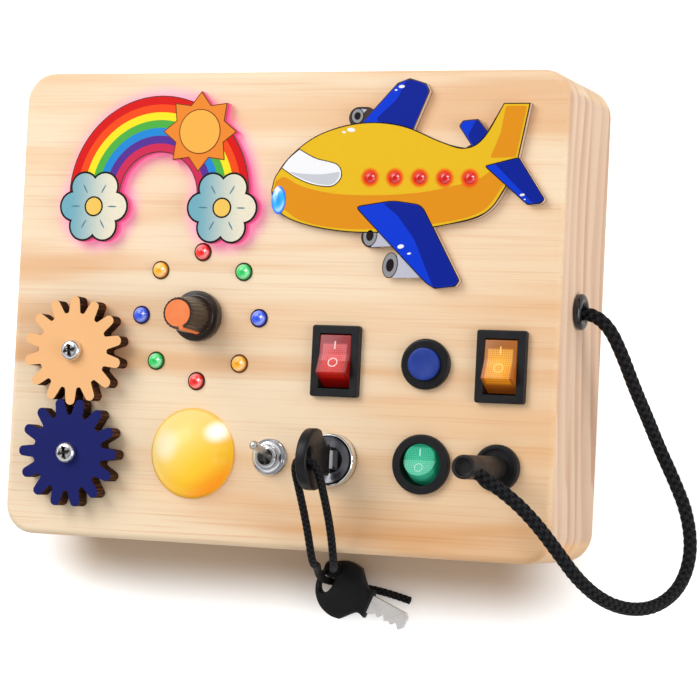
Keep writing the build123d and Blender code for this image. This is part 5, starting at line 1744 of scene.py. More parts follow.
@dataclass
class PushButton:
    """The blue button in its wide black bezel."""

    centre: Point = (48.0, -15.0)
    cap: float = 4.75
    top: float = 45.6
    foot: float = 40.2
    stem: float = 1.3
    travel: float = 2.0
    spring_turns: float = 3.5
    spring_radius: float = 2.9
    spring_wire: float = 0.56
    rim: float = 1.4
    ease: float = 0.6
    dish: Points = ((0.5, 0.18), (0.2, 0.26), (0.0, 0.28))  # share of the radius, depth
    stem_play: float = 0.98

    def build(self) -> None:
        """Turn the cap with its shallow dish."""
        low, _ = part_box("blue_button")
        foot = low.z / MM
        stem = self.stem * self.stem_play
        edge = [(self.cap, self.foot), (self.cap, self.top), (self.cap - self.rim, self.top)]
        profile = [
            (0.0, foot), (stem, foot), (stem, self.foot), (self.cap, self.foot),
            *eased(edge, self.ease)[1:],
            *((self.cap * share, self.top - depth) for share, depth in self.dish),
        ]
        piece = turned("blue_push_cap", [profile], [self.centre], BLUE_CAP)
        settle(piece, "button", "blue_cap", "blue_button")
        self.spring()

    def spring(self) -> None:
        """Wind the spring under the cap."""
        low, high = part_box("button_spring")
        coil = Recipe("spring_coil")
        turns = coil.size("Turns", self.spring_turns)
        radius = coil.size("Coil Radius", self.spring_radius)
        wire = coil.size("Wire Radius", self.spring_wire / 2)
        height = coil.size("Height", (high.z - low.z) / MM - self.spring_wire)
        sizes = {"Resolution": 28, "Rotations": turns, "Height": height}
        sizes.update({"Start Radius": radius, "End Radius": radius})
        path = coil.node("GeometryNodeCurveSpiral", inputs=sizes)
        swept = {"Curve": path, "Profile Curve": coil.circle(10, wire), "Fill Caps": True}
        mesh = coil.make("button_coil", SPRING_STEEL, coil.node("GeometryNodeCurveToMesh", inputs=swept))
        mesh.transform(Matrix.Translation((*self.centre, low.z / MM + self.spring_wire / 2)))
        spring = to_object("button_coil", mesh, SPRING_STEEL)
        settle(spring, "case", "contact_spring", "button_spring")
        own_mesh(spring)


@dataclass
class ToggleNut:
    """The toggle switch's washer, its chamfered nut and the thread above it."""

    centre: Point = (0.0, -44.0)
    thread: float = 3.0
    washer: float = 5.6
    washer_top: float = 42.8
    half_flats: float = 4.0
    flats_within: float = 4.4  # wider rings of the profile stay round
    corner: float = 4.62
    nut_top: float = 44.6
    thread_top: float = 45.45
    turns: int = 3
    groove: float = -0.05  # how far the thread's grooves and ridges stand from its radius
    ridge: float = 0.2
    play: float = 0.05
    edge: Point = (0.25, 0.3)  # the washer's outer edge: how far in and how far down it is cut
    lip: Span = (0.55, 0.75)  # mm in from its rim to where its lip stops and its dish starts
    lip_high: float = 0.22
    gap: float = 0.02  # from the dish to the nut
    corner_drop: float = 0.42  # how far down the nut's side the chamfer starts
    flat_edge: Point = (0.08, 0.06)  # where the chamfer ends, from the flats: out and down
    inside: float = 0.1
    mouth: Point = (0.35, 0.3)  # the thread's countersink: out and down

    def build(self) -> None:
        """Turn all three round the lever."""
        bore = self.thread + self.play
        first, last = self.lip
        dish = self.washer_top - self.lip_high
        foot = dish + self.gap
        flat_x, flat_z = self.flat_edge
        mouth_x, mouth_z = self.mouth
        washer = [
            (bore, FACE), (self.washer, FACE), (self.washer, self.washer_top - self.edge[1]),
            (self.washer - self.edge[0], self.washer_top), (self.washer - first, self.washer_top),
            (self.washer - last, dish), (bore, dish),
        ]
        nut = [
            (bore, foot), (self.corner, foot), (self.corner, self.nut_top - self.corner_drop),
            (self.half_flats + flat_x, self.nut_top - flat_z),
            (self.half_flats - self.inside, self.nut_top),
            (bore + mouth_x, self.nut_top), (bore, self.nut_top - mouth_z),
        ]
        pitch = (self.thread_top - self.nut_top) / self.turns
        inner, outer = self.thread + self.groove, self.thread + self.ridge
        ridges = []
        for number in range(self.turns):
            low = self.nut_top + pitch * number
            ridges.append([(inner, low), (outer, low + pitch / 2), (inner, low + pitch)])

        def flats(radius: float, height: float, angle: float) -> float:
            """Cut six flats into the ring where the nut's chamfer ends; its side stays round.

            Args:
                radius, height, angle: a point of the round nut.

            Returns:
                Its new radius.
            """
            if not self.flats_within > radius > self.half_flats or height > self.nut_top:
                return radius
            from_flat = (angle + pi / 6) % (pi / 3) - pi / 6
            return min(radius, self.half_flats / cos(from_flat))

        profiles = [washer, nut, *ridges]
        piece = turned("toggle_hexagon_nut", profiles, [self.centre], CHROME, sides=96, ripple=flats)
        settle(piece, "case", "chrome_trim", "toggle_nut")


@dataclass
class KeyLock:
    """The polished lock, the key in it and the spare key on its cord."""

    centre: Point = (20.0, -44.0)
    ring: float = 7.8
    ring_top: float = 45.6
    rim: float = 7.3
    dish: float = 6.7
    dish_foot: float = 3.86
    dish_low: float = 43.9
    chamfer: float = 0.5  # down the ring's outer side
    lip_drop: float = 0.1
    lean: float = 0.9  # how far the dish's side leans in
    kerb: float = 0.55  # mm above the dish's floor where its side ends
    flat: float = 0.5  # of that floor, round the rotor
    bow_z: float = 58.3
    bow_r: float = 8.5
    ear: Point = (3.2, 8.6)
    waist: Point = (7.4, 4.3)
    shoulder: Point = (10.4, 4.6)
    half_thick: float = 1.7
    hole: Point = (4.2, 7.2)
    hole_at: float = 5.2
    spare_at: Point3 = (10.3, -83.5, 2.6)
    spare_turn: float = -23.0
    arc_steps: int = 14
    bow_ease: float = 0.7
    ring_ease: float = 0.35
    ring_wall: float = 0.15  # mm of the dish's side that keeps the ring's bright chrome; further in, the chrome is painted dark as a reflection

    def bow_outline(self) -> Loop:
        """Draw a key's bow in its own plane, the blade pointing along +X.

        Returns:
            The bow's outline.
        """
        start = degrees(atan2(self.ear[1], self.ear[0]))
        reach = hypot(*self.ear)
        arc = []
        half = self.arc_steps / 2
        for step in range(self.arc_steps + 1):
            angle = radians(start + (360 - 2 * start) * step / self.arc_steps)
            swing = abs(step - half) / half
            radius = self.bow_r + (reach - self.bow_r) * swing**2
            arc.append(polar((0.0, 0.0), radius, angle))
        low_ear, low_waist, low_shoulder = ((x, -y) for x, y in (self.ear, self.waist, self.shoulder))
        return flowing(
            arc,
            [low_ear, low_waist, low_shoulder],
            [low_shoulder, self.shoulder],
            [self.shoulder, self.waist, self.ear],
            pieces=5,
        )

    def bow(self, name: str, seat: Matrix) -> Object:
        """Mould one bow at its seat, its edges well rounded."""
        loops = [self.bow_outline(), oval((-self.hole_at, 0), *self.hole)]
        return plate(name, loops, -self.half_thick, self.half_thick, KEY_PLASTIC, self.bow_ease, seat)

    def build(self) -> None:
        """Turn the lock's ring and mould both bows."""
        profile = eased(
            [
                (self.dish_foot, FACE), (self.ring, FACE), (self.ring, self.ring_top - self.chamfer),
                (self.rim, self.ring_top), (self.dish, self.ring_top - self.lip_drop),
                (self.dish - self.lean, self.dish_low + self.kerb),
                (self.dish_foot + self.flat, self.dish_low), (self.dish_foot, self.dish_low),
            ],
            self.ring_ease,
        )
        ring = turned("lock_ring", [profile], [self.centre], CHROME, sides=96)
        # painted reflection: the hollow of the same chrome piece gets the darkened chrome
        ring.data.materials.append(DARK_REFLECTION_CHROME.material())
        for polygon in ring.data.polygons:
            out = hypot(polygon.center.x / MM - self.centre[0], polygon.center.y / MM - self.centre[1])
            polygon.material_index = 1 if out < self.dish - self.ring_wall else 0
        settle(ring, "case", "lock_chrome")
        dress(["lock_body"], DARK_REFLECTION_CHROME)
        upright = Matrix(((0, 0, 1), (0, 1, 0), (-1, 0, 0))).to_4x4()
        seat = Matrix.Translation((*self.centre, self.bow_z)) @ upright
        settle(self.bow("lock_key_handle", seat), "lock_key", "key_plastic", "lock_key_bow")
        flat = Matrix.Translation((*self.spare_at[:2], self.spare_at[2] + self.half_thick))
        flat = flat @ Matrix.Rotation(radians(self.spare_turn), 4, "Z")
        settle(self.bow("spare_key_handle", flat), "case", "key_plastic", "spare_key_bow")


class Exit(Enum):
    """What a cord's far end is in."""

    PLUG = "plug"
    KNOT = "knot"


@dataclass
class Cord:
    """A braided cord that follows one smooth line through its route's points."""

    name: str
    route: tuple[Point3, ...]
    diameter: float
    lay: float  # mm along the cord for one strand to the next
    far_end: Exit
    body: str
    node: str
    with_nodes: tuple[str, ...]
    moves_with: str  # the body that its near end follows
    free_from: Point3  # where it starts to give way to that body's turn
    free_to: Point3  # where it lies still
    sides: int = 32
    step: float = 0.34
    valley: float = 0.82  # share of the radius between two strands
    strand: float = 0.18  # and what a strand adds to it
    roundness: float = 0.7

    def line(self) -> list[Vector]:
        """Read the route's smooth curve.

        Returns:
            Its points, in mm.
        """
        curve = bpy.data.curves.new(self.name + "_line", "CURVE")
        curve.dimensions = "3D"
        curve.resolution_u = 24
        spline = curve.splines.new("NURBS")
        spline.points.add(len(self.route) - 1)
        for point, place in zip(spline.points, self.route):
            point.co = (*[part * MM for part in place], 1.0)
        spline.order_u = 3
        spline.use_endpoint_u = True
        mesh = plain_mesh(linked(self.name + "_line", curve))
        points = [vertex.co / MM for vertex in mesh.vertices]
        bpy.data.meshes.remove(mesh)
        return points

    def even(self, points: Sequence[Vector]) -> list[Vector]:
        """Set a line's points evenly apart.

        Args:
            points: the line.

        Returns:
            Points along the same line.
        """
        far = [0.0]
        for start, end in zip(points, points[1:]):
            far.append(far[-1] + (end - start).length)
        count = max(2, round(far[-1] / self.step))
        spots = []
        k = 0
        for number in range(count + 1):
            goal = far[-1] * number / count
            while k < len(far) - 2 and far[k + 1] < goal:
                k += 1
            share = (goal - far[k]) / max(1e-9, far[k + 1] - far[k])
            spots.append(points[k].lerp(points[k + 1], min(1.0, max(0.0, share))))
        return spots

    def weave(self, spots: Sequence[Vector]) -> Mesh:
        """Lay the strands round a line, and write turns and lays into its UV map.

        Args:
            spots: the line.

        Returns:
            The cord, in mm.
        """
        radius = self.diameter / 2
        strands = CORD_BRAID.strands
        form = bmesh.new()
        layer = form.loops.layers.uv.new("braid")
        across = (spots[1] - spots[0]).orthogonal().normalized()
        rings: list[list[bmesh.types.BMVert]] = []
        along = 0.0
        lays: list[float] = []
        for number, spot in enumerate(spots):
            ahead = spots[min(number + 1, len(spots) - 1)] - spots[max(number - 1, 0)]
            ahead.normalize()
            across = (across - ahead * across.dot(ahead)).normalized()
            up = ahead.cross(across)
            along += (spot - spots[number - 1]).length if number else 0.0
            lays.append(along / self.lay)
            ring = []
            for k in range(self.sides):
                turn = k / self.sides
                right = (turn * strands + lays[-1]) % 1.0 - 0.5
                left = (turn * strands - lays[-1]) % 1.0 - 0.5
                own = right if right * left > 0 else left
                reach = radius * (self.valley + self.strand * cos(pi * own) ** self.roundness)
                angle = tau * turn
                ring.append(form.verts.new(spot + (across * cos(angle) + up * sin(angle)) * reach))
            rings.append(ring)
        for number in range(1, len(rings)):
            low, high = rings[number - 1], rings[number]
            for k in range(self.sides):
                after = (k + 1) % self.sides
                face = form.faces.new([low[k], low[after], high[after], high[k]])
                first, last = k / self.sides, (k + 1) / self.sides
                for loop, (turn, end) in zip(face.loops, ((first, 0), (last, 0), (last, 1), (first, 1))):
                    loop[layer].uv = (turn, lays[number - 1 + end])
        form.faces.new(rings[0][::-1])
        form.faces.new(rings[-1])
        mesh = bpy.data.meshes.new(self.name)
        form.to_mesh(mesh)
        form.free()
        return mesh

    def build(self) -> None:
        """Weave the cord and hide the CAD node that it stands for."""
        points = self.line()
        piece = to_object(self.name, self.weave(self.even(points)), CORD_BRAID, sharp=80.0)
        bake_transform(piece)
        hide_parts(self.node)


PLUG_CORD = Cord(
    "plug_cord_braid",
    (
        (85.2, 2.3, 26.5), (92.0, 2.3, 26.5), (97.6, -1.8, 26.0), (101.2, -9.8, 23.4),
        (103.8, -18.9, 18.4), (106.4, -27.6, 11.8), (108.7, -35.9, 5.8), (112.6, -45.1, 2.1),
        (117.1, -55.0, 2.05), (118.8, -66.3, 2.1), (117.3, -76.2, 7.5), (112.9, -81.8, 16.5),
        (107.4, -82.7, 26.5), (101.9, -80.0, 36.0), (96.9, -74.2, 44.3), (92.6, -66.3, 51.2),
        (87.4, -58.2, 56.8), (80.7, -50.9, 62.0), (72.4, -45.1, 66.4),
    ),
    4.0,
    2.4,
    Exit.PLUG,
    "case",
    "plug_cord",
    ("plug_barrel", "side_grommet", "cord_stop_knot"),
    "plug",
    (78.0, -48.6, 63.6), (105.0, -81.0, 31.0),
)
KEY_CORD = Cord(
    "key_cord_braid",
    (
        (31.5, -85.8, 1.3), (22.6, -83.4, 1.3), (12.6, -82.6, 1.3), (4.9, -81.6, 1.3), (5.0, -80.4, 9.6),
        (8.6, -77.0, 21.5), (13.6, -75.4, 34.0), (16.6, -74.6, 45.2), (16.4, -64.8, 49.6),
        (16.2, -55.2, 55.4), (16.2, -44.0, 63.6), (23.6, -44.0, 63.6), (23.6, -55.4, 55.2),
        (23.8, -65.2, 49.6), (23.4, -74.4, 45.4), (18.6, -75.6, 33.0), (13.4, -76.8, 20.5),
        (9.4, -77.2, 10.5),
    ),
    2.4,
    1.7,
    Exit.KNOT,
    "case",
    "key_cord",
    ("key_cord_knot", "spare_key_blade"),
    "lock_key",
    (19.9, -46.0, 62.0), (20.0, -66.0, 49.5),
    sides=24,
)


@dataclass
class Plug:
    """The plug's handle, the socket's face and the grommet in the case's side."""

    centre: Point = (71.0, -44.0)
    handle: float = 3.4
    bottom: float = 43.6
    top: float = 72.6
    recess: float = 2.4
    recess_deep: float = 1.6
    grommet_at: Point3 = (88.0, 2.3, 26.5)
    grommet: float = 5.3
    lip: float = 2.3
    bore: float = 2.15
    sleeve: float = 1.0  # the grommet's wall inside the case
    gap: float = 0.05  # mm that its lip keeps off the case
    rim: float = 0.75  # share of the lip's height where its edge starts to curve in
    mouth: float = 0.8
    throat: float = 0.5  # share of the lip's height down to which its mouth opens
    handle_ease: float = 0.5
    grommet_ease: float = 0.9

    def build(self) -> None:
        """Turn the handle and the grommet."""
        profile = eased(
            [
                (0.0, self.bottom), (self.handle, self.bottom), (self.handle, self.top),
                (self.recess, self.top), (self.recess, self.top - self.recess_deep),
                (0.0, self.top - self.recess_deep),
            ],
            self.handle_ease,
        )
        handle = turned("plug_sleeve", [profile], [self.centre], PLUG_RUBBER)
        settle(handle, "plug", "black_plastic", "plug_handle")
        x, y, z = self.grommet_at
        low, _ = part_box("side_grommet")
        inner = (low.x / MM) - x
        outer = self.lip
        ring = eased(
            [
                (self.bore, inner), (self.bore + self.sleeve, inner), (self.bore + self.sleeve, self.gap),
                (self.grommet, self.gap), (self.grommet, outer * self.rim),
                (self.grommet - self.grommet_ease, outer), (self.bore + self.mouth, outer),
                (self.bore, outer * self.throat),
            ],
            self.grommet_ease,
        )
        sideways = Matrix.Translation((x, y, z)) @ Matrix.Rotation(pi / 2, 4, "Y")
        grommet = turned("cord_grommet", [ring], [(0.0, 0.0)], RUBBER, turn=sideways)
        settle(grommet, "case", "rubber_black", "side_grommet")


@dataclass
class Picture:
    """A plywood plate printed in thin flat colours, one over the other."""

    name: str = "picture"
    top: float = FACE
    layer: float = 0.035
    sunk: float = 0.01  # how far each colour reaches into the plate
    pieces: list[Object] = field(default_factory=list)

    def ink(self, level: int, loops: Sequence[Loop], finish: Finish) -> None:
        """Print one flat colour.

        Args:
            level: its place in the pile of colours.
            loops: its outlines and holes.
            finish: the ink.
        """
        name = f"{self.name}_ink_{len(self.pieces)}"
        top = self.top + level * self.layer
        self.pieces.append(plate(name, loops, self.top - self.sunk, top, finish))

    def press(self) -> None:
        """Join the colours and fix them on the case."""
        settle(merged(f"{self.name}_print", self.pieces), "case", f"{self.name}_print")


@dataclass
class Aeroplane(Picture):
    """The painted plywood aeroplane, printed over its dark key line."""

    name: str = "aeroplane"
    top: float = 44.2
    line: float = 0.32
    nose: Point = (-2.8, 35.0)
    back: Points = (
        (-1.2, 40.0), (5.4, 47.6), (14.0, 52.6), (26.0, 55.2), (38.0, 54.2), (50.0, 49.6), (57.5, 47.8),
    )
    fin: Points = ((63.0, 51.0), (68.6, 60.8), (76.6, 60.8), (73.6, 44.4))
    belly: Points = (
        (70.0, 36.0), (64.6, 29.0), (54.0, 25.6), (38.0, 23.2), (22.0, 22.9), (8.0, 25.0), (0.0, 28.6),
    )
    upper_wing: Points = (
        (22.5, 52.5), (35.6, 66.8), (39.4, 68.2), (44.6, 66.6), (45.8, 64.4), (40.0, 50.0),
    )
    lower_wing: Points = (
        (24.0, 30.5), (36.0, 32.4), (45.1, 31.2), (57.6, 9.4), (56.4, 7.6), (50.0, 6.8), (47.0, 8.6),
    )
    upper_tail: Points = ((55.1, 54.2), (56.4, 55.8), (61.0, 56.2), (65.0, 51.6), (61.0, 46.0))
    lower_tail: Points = ((63.4, 42.6), (73.8, 45.2), (82.2, 33.0), (80.8, 31.8), (77.0, 31.4))
    upper_wing_dark: Points = (
        (29.0, 55.9), (35.9, 62.2), (38.0, 67.2), (39.6, 67.8), (44.2, 66.3), (45.35, 64.3), (40.2, 51.6),
    )
    upper_tail_dark: Points = (
        (58.0, 51.2), (60.2, 55.7), (61.0, 55.8), (64.5, 51.7), (61.0, 46.8),
    )
    lower_wing_dark: Points = (
        (32.7, 31.5), (37.6, 28.0), (43.3, 20.8), (46.6, 13.6), (49.6, 7.2), (56.1, 8.0), (57.15, 9.4),
        (45.0, 30.8), (36.0, 32.0),
    )
    lower_tail_dark: Points = (
        (66.6, 43.2), (78.6, 31.9), (80.7, 32.2), (81.7, 33.1), (73.6, 44.8),
    )
    lens_at: Point = (-0.2, 32.1)
    lens: Point = (4.6, 8.4)  # width and height
    first_window: Point = (28.5, 39.0)
    windows: int = 5
    window_pitch: float = 7.7
    halo: float = 6.6
    underside: tuple[Points, ...] = (  # smooth lines that meet in corners, as in the next two
        (
            (-1.4, 37.8), (1.4, 38.9), (5.8, 36.7), (12.0, 35.0), (19.3, 34.0), (27.8, 33.8),
            (37.3, 34.1), (46.7, 35.1), (53.7, 36.6), (59.5, 37.9), (62.9, 39.3), (66.0, 41.6),
        ),
        ((66.0, 41.6), (69.8, 37.6)),
        (
            (69.8, 37.6), (65.8, 31.6), (62.8, 29.2), (57.7, 27.3), (49.6, 25.8), (37.6, 24.3),
            (26.5, 23.8), (21.1, 23.9), (13.8, 24.6), (6.3, 26.5), (1.9, 29.3),
        ),
        ((1.9, 29.3), (-1.2, 31.9), (-2.0, 34.6), (-1.4, 37.8)),
    )
    windscreen: tuple[Points, ...] = (
        ((5.7, 47.2), (2.6, 44.6), (0.3, 41.7)),
        (
            (0.3, 41.7), (4.4, 39.2), (8.8, 37.3), (13.1, 36.4), (16.8, 36.5), (19.1, 38.5),
            (19.3, 40.8), (18.0, 42.7), (15.2, 43.6), (10.9, 44.6), (5.7, 47.2),
        ),
    )
    screen_shade: tuple[Points, ...] = (
        ((2.4, 40.7), (6.8, 40.1), (12.9, 39.9), (18.9, 40.7)),
        ((18.9, 40.7), (18.7, 38.9), (16.7, 36.9), (13.1, 36.8), (8.8, 37.8), (4.4, 39.6), (2.4, 40.7)),
    )
    screen_line: float = 0.16
    fin_panel: Points = ((69.3, 59.9), (75.6, 59.9), (72.9, 45.2), (65.2, 44.9), (68.0, 52.0))
    engine_turn: float = -8.0  # degrees
    barrels: tuple[tuple[Points, Point, Point], ...] = (  # outline, and the ring's middle and half size
        (((31.2, 24.9), (36.3, 19.0), (29.8, 18.6)), (29.3, 22.0), (2.27, 3.25)),
        (((38.2, 16.9), (45.7, 10.0), (36.8, 9.7)), (36.0, 13.4), (2.38, 3.8)),
        (((23.7, 59.3), (26.5, 59.0), (22.4, 55.2)), (23.6, 57.1), (2.0, 2.3)),
    )
    glints: tuple[tuple[Point, float, float, float, int], ...] = (  # middle, size, turn and level
        ((39.1, 18.9), 2.0, 1.2, 12, 9), ((41.8, 16.9), 1.2, 0.6, 12, 9),
        ((37.0, 65.7), 1.9, 0.9, 3, 4), ((35.3, 64.7), 0.9, 0.5, 3, 4),
        ((21.8, 53.0), 2.6, 1.2, -6, 6), ((19.6, 52.3), 1.2, 0.7, -6, 6),
        ((75.4, 34.3), 1.5, 0.7, 10, 9), ((76.2, 33.0), 0.6, 0.35, 10, 9),
    )

    def body(self) -> Loop:
        """Draw the fuselage and fin.

        Returns:
            The outline.
        """
        first = [self.nose, *self.back]
        last = [self.fin[-1], *self.belly, self.nose]
        top, tail, foot = self.fin[1:]
        return flowing([*first, *self.fin[:2]], [top, tail], [tail, foot], last)

    def wings(self) -> None:
        """Wings and tailplanes: bright leading edges and dark tops."""
        parts = (
            (1, 2.6, self.upper_wing, self.upper_wing_dark),
            (1, 1.4, self.upper_tail, self.upper_tail_dark),
            (6, 2.2, self.lower_wing, self.lower_wing_dark),
            (6, 1.2, self.lower_tail, self.lower_tail_dark),
        )
        for level, ease, outline, dark in parts:
            loop = rounded(outline, ease)
            if level > 1:
                self.ink(level, [loop], KEY_LINE)
            self.ink(level + 1, [inset(loop, self.line)], WING_BLUE)
            self.ink(level + 2, [inset(rounded(dark, ease * 0.7), 0.05)], WING_DARK)

    def fuselage(self) -> None:
        """The yellow body, its orange underside, the fin panel and the windscreen."""
        body = self.body()
        self.ink(3, [body], KEY_LINE)
        self.ink(4, [inset(body, self.line)], YELLOW_INK)
        self.ink(5, [flowing(*self.underside)], ORANGE_INK)
        self.ink(5, [rounded(self.fin_panel, 0.7)], ORANGE_INK)
        glass = flowing(*self.windscreen)
        self.ink(6, [inset(glass, -self.screen_line)], KEY_LINE)
        self.ink(7, [inset(glass, 0.1)], WHITE_INK)
        self.ink(8, [inset(flowing(*self.screen_shade), 0.08)], GREY_INK)

    def engines(self) -> None:
        """The three engines: a pale barrel and a grey ring round a black mouth."""
        turn = self.engine_turn
        for barrel, centre, half in self.barrels:
            self.ink(1, [rounded(barrel, 0.3)], ENGINE_LILAC)
            width, height = (2 * side for side in half)
            self.ink(2, [oval(centre, width, height, turn)], KEY_LINE)
            self.ink(3, [oval(centre, width - 0.5, height - 0.5, turn)], ENGINE_GREY)
            self.ink(4, [oval(centre, width * 0.5, height * 0.5, turn)], KEY_LINE)

    def halos(self) -> None:
        """The red light that the windows' lamps throw on the paint."""
        x, y = self.first_window
        shine = Halo("window_halo", self.first_window, self.window_pitch)
        for number in range(self.windows):
            self.ink(6, [oval((x + self.window_pitch * number, y), self.halo, self.halo)], shine)

    def lights(self) -> None:
        """Small white glints."""
        for centre, width, height, turn, level in self.glints:
            self.ink(level, [oval(centre, width, height, turn, 20)], WHITE_INK)

    def build(self) -> None:
        """Print the plate and set its lamps."""
        dress(["aeroplane_plate"], PLANE_PLY)
        self.wings()
        self.fuselage()
        self.engines()
        self.halos()
        self.lights()
        self.press()
        red = Jewel(
            "window_lamp_red",
            tint(214, 12, 10),
            tint(150, 8, 6),
            Layout.ROW,
            self.first_window,
            radius=1.95,
            spread=self.window_pitch,
            lit=0.14,
            star_at=(1.5, 0.5),
            star_reach=1.0,
            crescent=0.2,
        )
        dress(["aeroplane_leds"], red)
        nose = Jewel(
            "nose_lamp_blue",
            tint(40, 148, 244),
            tint(10, 70, 190),
            Layout.SINGLE,
            self.lens_at,
            radius=2.3,
            lit=0.7,
            star_at=(-0.6, 1.8),
            star_reach=1.5,
            stretch=1.83,
        )
        outline = oval(self.lens_at, *self.lens, count=48)
        crown = self.top + 11 * self.layer
        lens = plate("nose_lamp", [outline], FACE + 0.02, crown, nose, ease=0.2)
        settle(lens, "case", "nose_blue", "nose_lens")


@dataclass
class Rainbow(Picture):
    """The arch with a blossom at each foot and a star on its side, on its glowing base."""

    name: str = "rainbow"
    top: float = 45.2
    centre: Point = (-39.5, 33.3)
    radius: float = 30.0
    band: float = 17.2
    line: float = 0.3
    steps: int = 48  # pieces in each band's half circle
    feet: tuple[Point, Point] = ((-60.9, 29.5), (-18.1, 29.5))
    petals: int = 6
    petal: float = 4.8
    blossom: float = 11.6
    star_at: Point = (-26.6, 52.4)
    star: float = 12.2
    star_inner: float = 8.6
    star_points: int = 8

    def bands(self) -> None:
        """Seven bands from red to crimson."""
        inks = (
            Ink("band_red", tint(224, 20, 20)),
            Ink("band_orange", tint(250, 78, 22)),
            Ink("band_yellow", tint(252, 234, 36)),
            Ink("band_green", tint(80, 180, 72)),
            Ink("band_blue", tint(36, 140, 220)),
            Ink("band_purple", tint(90, 50, 152)),
            Ink("band_crimson", tint(214, 44, 86)),
        )
        width = (self.band - 2 * self.line) / len(inks)
        for number, finish in enumerate(inks):
            outer = self.radius - self.line - width * number
            angles = [pi * k / self.steps for k in range(self.steps + 1)]
            loop = [polar(self.centre, outer, angle) for angle in angles]
            loop += [polar(self.centre, outer - width, angle) for angle in angles[::-1]]
            self.ink(1, [loop], finish)

    def flower(self, centre: Point, grow: float) -> Loop:
        """Draw a blossom.

        Args:
            centre: its middle.
            grow: how much bigger its petals' radius is, in mm.

        Returns:
            The outline.
        """
        outline = []
        steps = 16
        reach = self.blossom - self.petal
        size = self.petal + grow
        meet = pi / self.petals
        edge = pi / 2 + meet - acos(min(1.0, reach * sin(meet) / size))
        for petal in range(self.petals):
            facing = tau * petal / self.petals
            middle = Vector((cos(facing), sin(facing))) * reach
            hub = (centre[0] + middle.x, centre[1] + middle.y)
            for step in range(steps + 1):
                outline.append(polar(hub, size, facing - edge + 2 * edge * step / steps))
        return outline

    def blossoms(self) -> None:
        """A blossom at each foot, fading from blue to cream."""
        for number, centre in enumerate(self.feet):
            blue, cream = tint(118, 178, 194), tint(244, 234, 208)
            fade = Ink(f"blossom_fade_{number}", blue, cream, centre[0] - 9.0)
            self.ink(2, [self.flower(centre, 0.0)], KEY_LINE)
            self.ink(3, [self.flower(centre, -0.62)], fade)
            self.ink(4, [oval(centre, 6.2, 6.2)], KEY_LINE)
            self.ink(5, [oval(centre, 5.2, 5.2)], Ink("blossom_heart", tint(250, 204, 96)))
            for petal in range(self.petals):
                angle = tau * petal / self.petals
                vein = oval(polar(centre, 6.2, angle), 3.0, 0.42, degrees(angle), 16)
                self.ink(4, [vein], Ink("blossom_vein", tint(84, 130, 150)))

    def rays(self, size: float, inner: float) -> Loop:
        """Draw the star.

        Args:
            size: its points' radius.
            inner: the radius between them.

        Returns:
            The outline.
        """
        points = []
        for number in range(2 * self.star_points):
            radius = inner if number % 2 else size
            points.append(polar(self.star_at, radius, radians(90 + 180 / self.star_points * number)))
        return points

    def build(self) -> None:
        """Print the plate over its glowing base."""
        dress(["rainbow_glow_base"], PINK_GLOW)
        dress(["rainbow_plate"], RAINBOW_EDGE)
        self.bands()
        self.blossoms()
        brown = Ink("star_line", tint(122, 62, 20))
        outline = self.rays(self.star, self.star_inner)
        self.ink(2, [outline], brown)
        self.ink(3, [inset(outline, 0.3)], STAR_INK)
        self.ink(4, [oval(self.star_at, 13.6, 13.6, count=56)], brown)
        self.ink(5, [oval(self.star_at, 13.0, 13.0, count=56)], STAR_CORE)
        self.press()


# ---- Studio


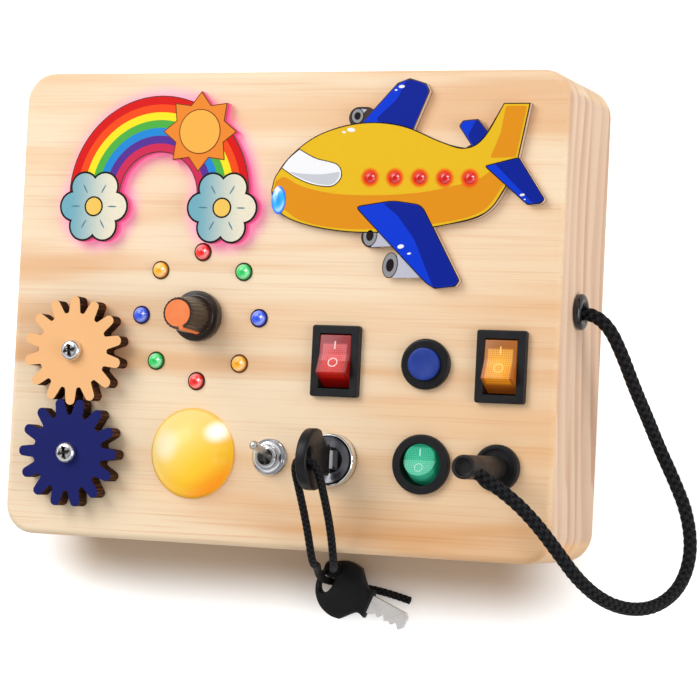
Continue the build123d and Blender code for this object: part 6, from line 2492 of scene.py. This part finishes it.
@dataclass
class Studio:
    """The camera, the pale floor and the soft lights."""

    eye: Point3 = (0.30467, -0.04155, 0.75171)
    aim: Point3 = (3.3491, 21.4485, 2.9937)  # degrees
    lens: float = 134.03
    sensor: float = 36.0
    floor: float = 3.0
    lit: Point3 = (0.0, 0.0, 0.03)  # what the lights look at
    ambient: float = 0.5
    lamps: tuple[tuple[str, Point3, float, float], ...] = (  # name, place, size and watts
        ("key_light", (-0.4, 0.42, 0.62), 0.55, 4.0), ("side_light", (0.9, -0.1, 0.35), 0.6, 3.6),
    )
    mirrored: tuple[tuple[float, Colour], ...] = (
        (0.0, (0.05, 0.05, 0.05)), (0.2, (0.1, 0.1, 0.1)), (0.45, (0.9, 0.9, 0.9)),
        (0.7, (0.8, 0.8, 0.8)), (0.86, (0.36, 0.36, 0.36)), (1.0, (0.3, 0.3, 0.3)),
    )

    def camera(self) -> None:
        """Set up the view."""
        data = bpy.data.cameras.new("camera")
        data.lens = self.lens
        data.sensor_width = self.sensor
        data.clip_start = 0.01
        view = linked("camera", data)
        view.location = self.eye
        view.rotation_euler = [radians(angle) for angle in self.aim]
        bpy.context.scene.camera = view

    def ground(self) -> None:
        """A pale floor that shows as white, keeps the shadows and has a painted shadow under the board's
        lower edge.
        """
        half = self.floor / 2
        mesh = bpy.data.meshes.new("floor")
        corners = [(-half, -half, 0), (half, -half, 0), (half, half, 0), (-half, half, 0)]
        mesh.from_pydata(corners, [], [(0, 1, 2, 3)])
        paint = Paint("studio_floor")
        path = paint.node("ShaderNodeLightPath", output="Is Camera Ray")
        x, y, _ = paint.at().axes()
        # painted shadow: a darker, dimmer strip on the floor under the board's lower edge
        strip = y.fade(-98.0, -76.0) * y.fade(0.0, -60.0) * (x + 8.0).size().fade(104.0, 66.0)
        pale = paint.blend((0.86, 0.86, 0.86), (0.6, 0.5, 0.4), strip)
        diffuse = paint.node("ShaderNodeBsdfDiffuse", inputs={"Color": pale})
        shine = paint.blend(WHITE, (0.03, 0.01, 0.0), strip)
        lift = paint.node("ShaderNodeEmission", inputs={"Color": shine, "Strength": path * 0.7})
        paint.close(paint.node("ShaderNodeAddShader", inputs={0: diffuse, 1: lift}))
        mesh.materials.append(paint.material)
        linked("floor", mesh)

    def lights(self) -> None:
        """Square soft lights that look at the board."""
        for name, place, size, watts in self.lamps:
            data = bpy.data.lights.new(name, "AREA")
            data.size = size
            data.energy = watts
            light = linked(name, data)
            light.location = place
            light.rotation_euler = (Vector(place) - Vector(self.lit)).to_track_quat("Z", "Y").to_euler()

    def sky(self) -> None:
        """Even soft light, with darker walls and a darker ceiling in what shines."""
        world = bpy.data.worlds.new("studio")
        world.use_nodes = True
        bpy.context.scene.world = world
        air = Tree(world.node_tree)
        _, _, height = air.node("ShaderNodeTexCoord", output="Generated").axes()
        seen = air.node("ShaderNodeValToRGB", {"stops": self.mirrored}, {"Fac": height})
        glossy = air.node("ShaderNodeLightPath", output="Is Glossy Ray")
        colour = air.blend((self.ambient,) * 3, seen, glossy)
        light = air.node("ShaderNodeBackground", inputs={"Color": colour, "Strength": 1.0})
        air.node("ShaderNodeOutputWorld", inputs={"Surface": light})

    def build(self) -> None:
        """Set up the whole studio."""
        bpy.context.scene.view_settings.view_transform = "Standard"
        self.camera()
        self.ground()
        self.lights()
        self.sky()


def main() -> None:
    """Build the board piece by piece."""
    logging.basicConfig(level=logging.INFO, format="%(message)s")
    Studio().build()
    PLUG_CORD.build()
    KEY_CORD.build()
    Plug().build()
    Case().dress()
    Gears().build()
    lamps = LampRing()
    lamps.build()
    lamps.dress()
    Knob().build()
    Dome().build()
    RockerSwitch("red", (20.0, -15.0), RED_SHADES, MARK_WHITE).build()
    RockerSwitch("amber", (71.0, -15.0), AMBER_SHADES, MARK_AMBER).build()
    RoundSwitch().build()
    PushButton().build()
    ToggleNut().build()
    KeyLock().build()
    Aeroplane().build()
    Rainbow().build()


if __name__ == "__main__":
    main()
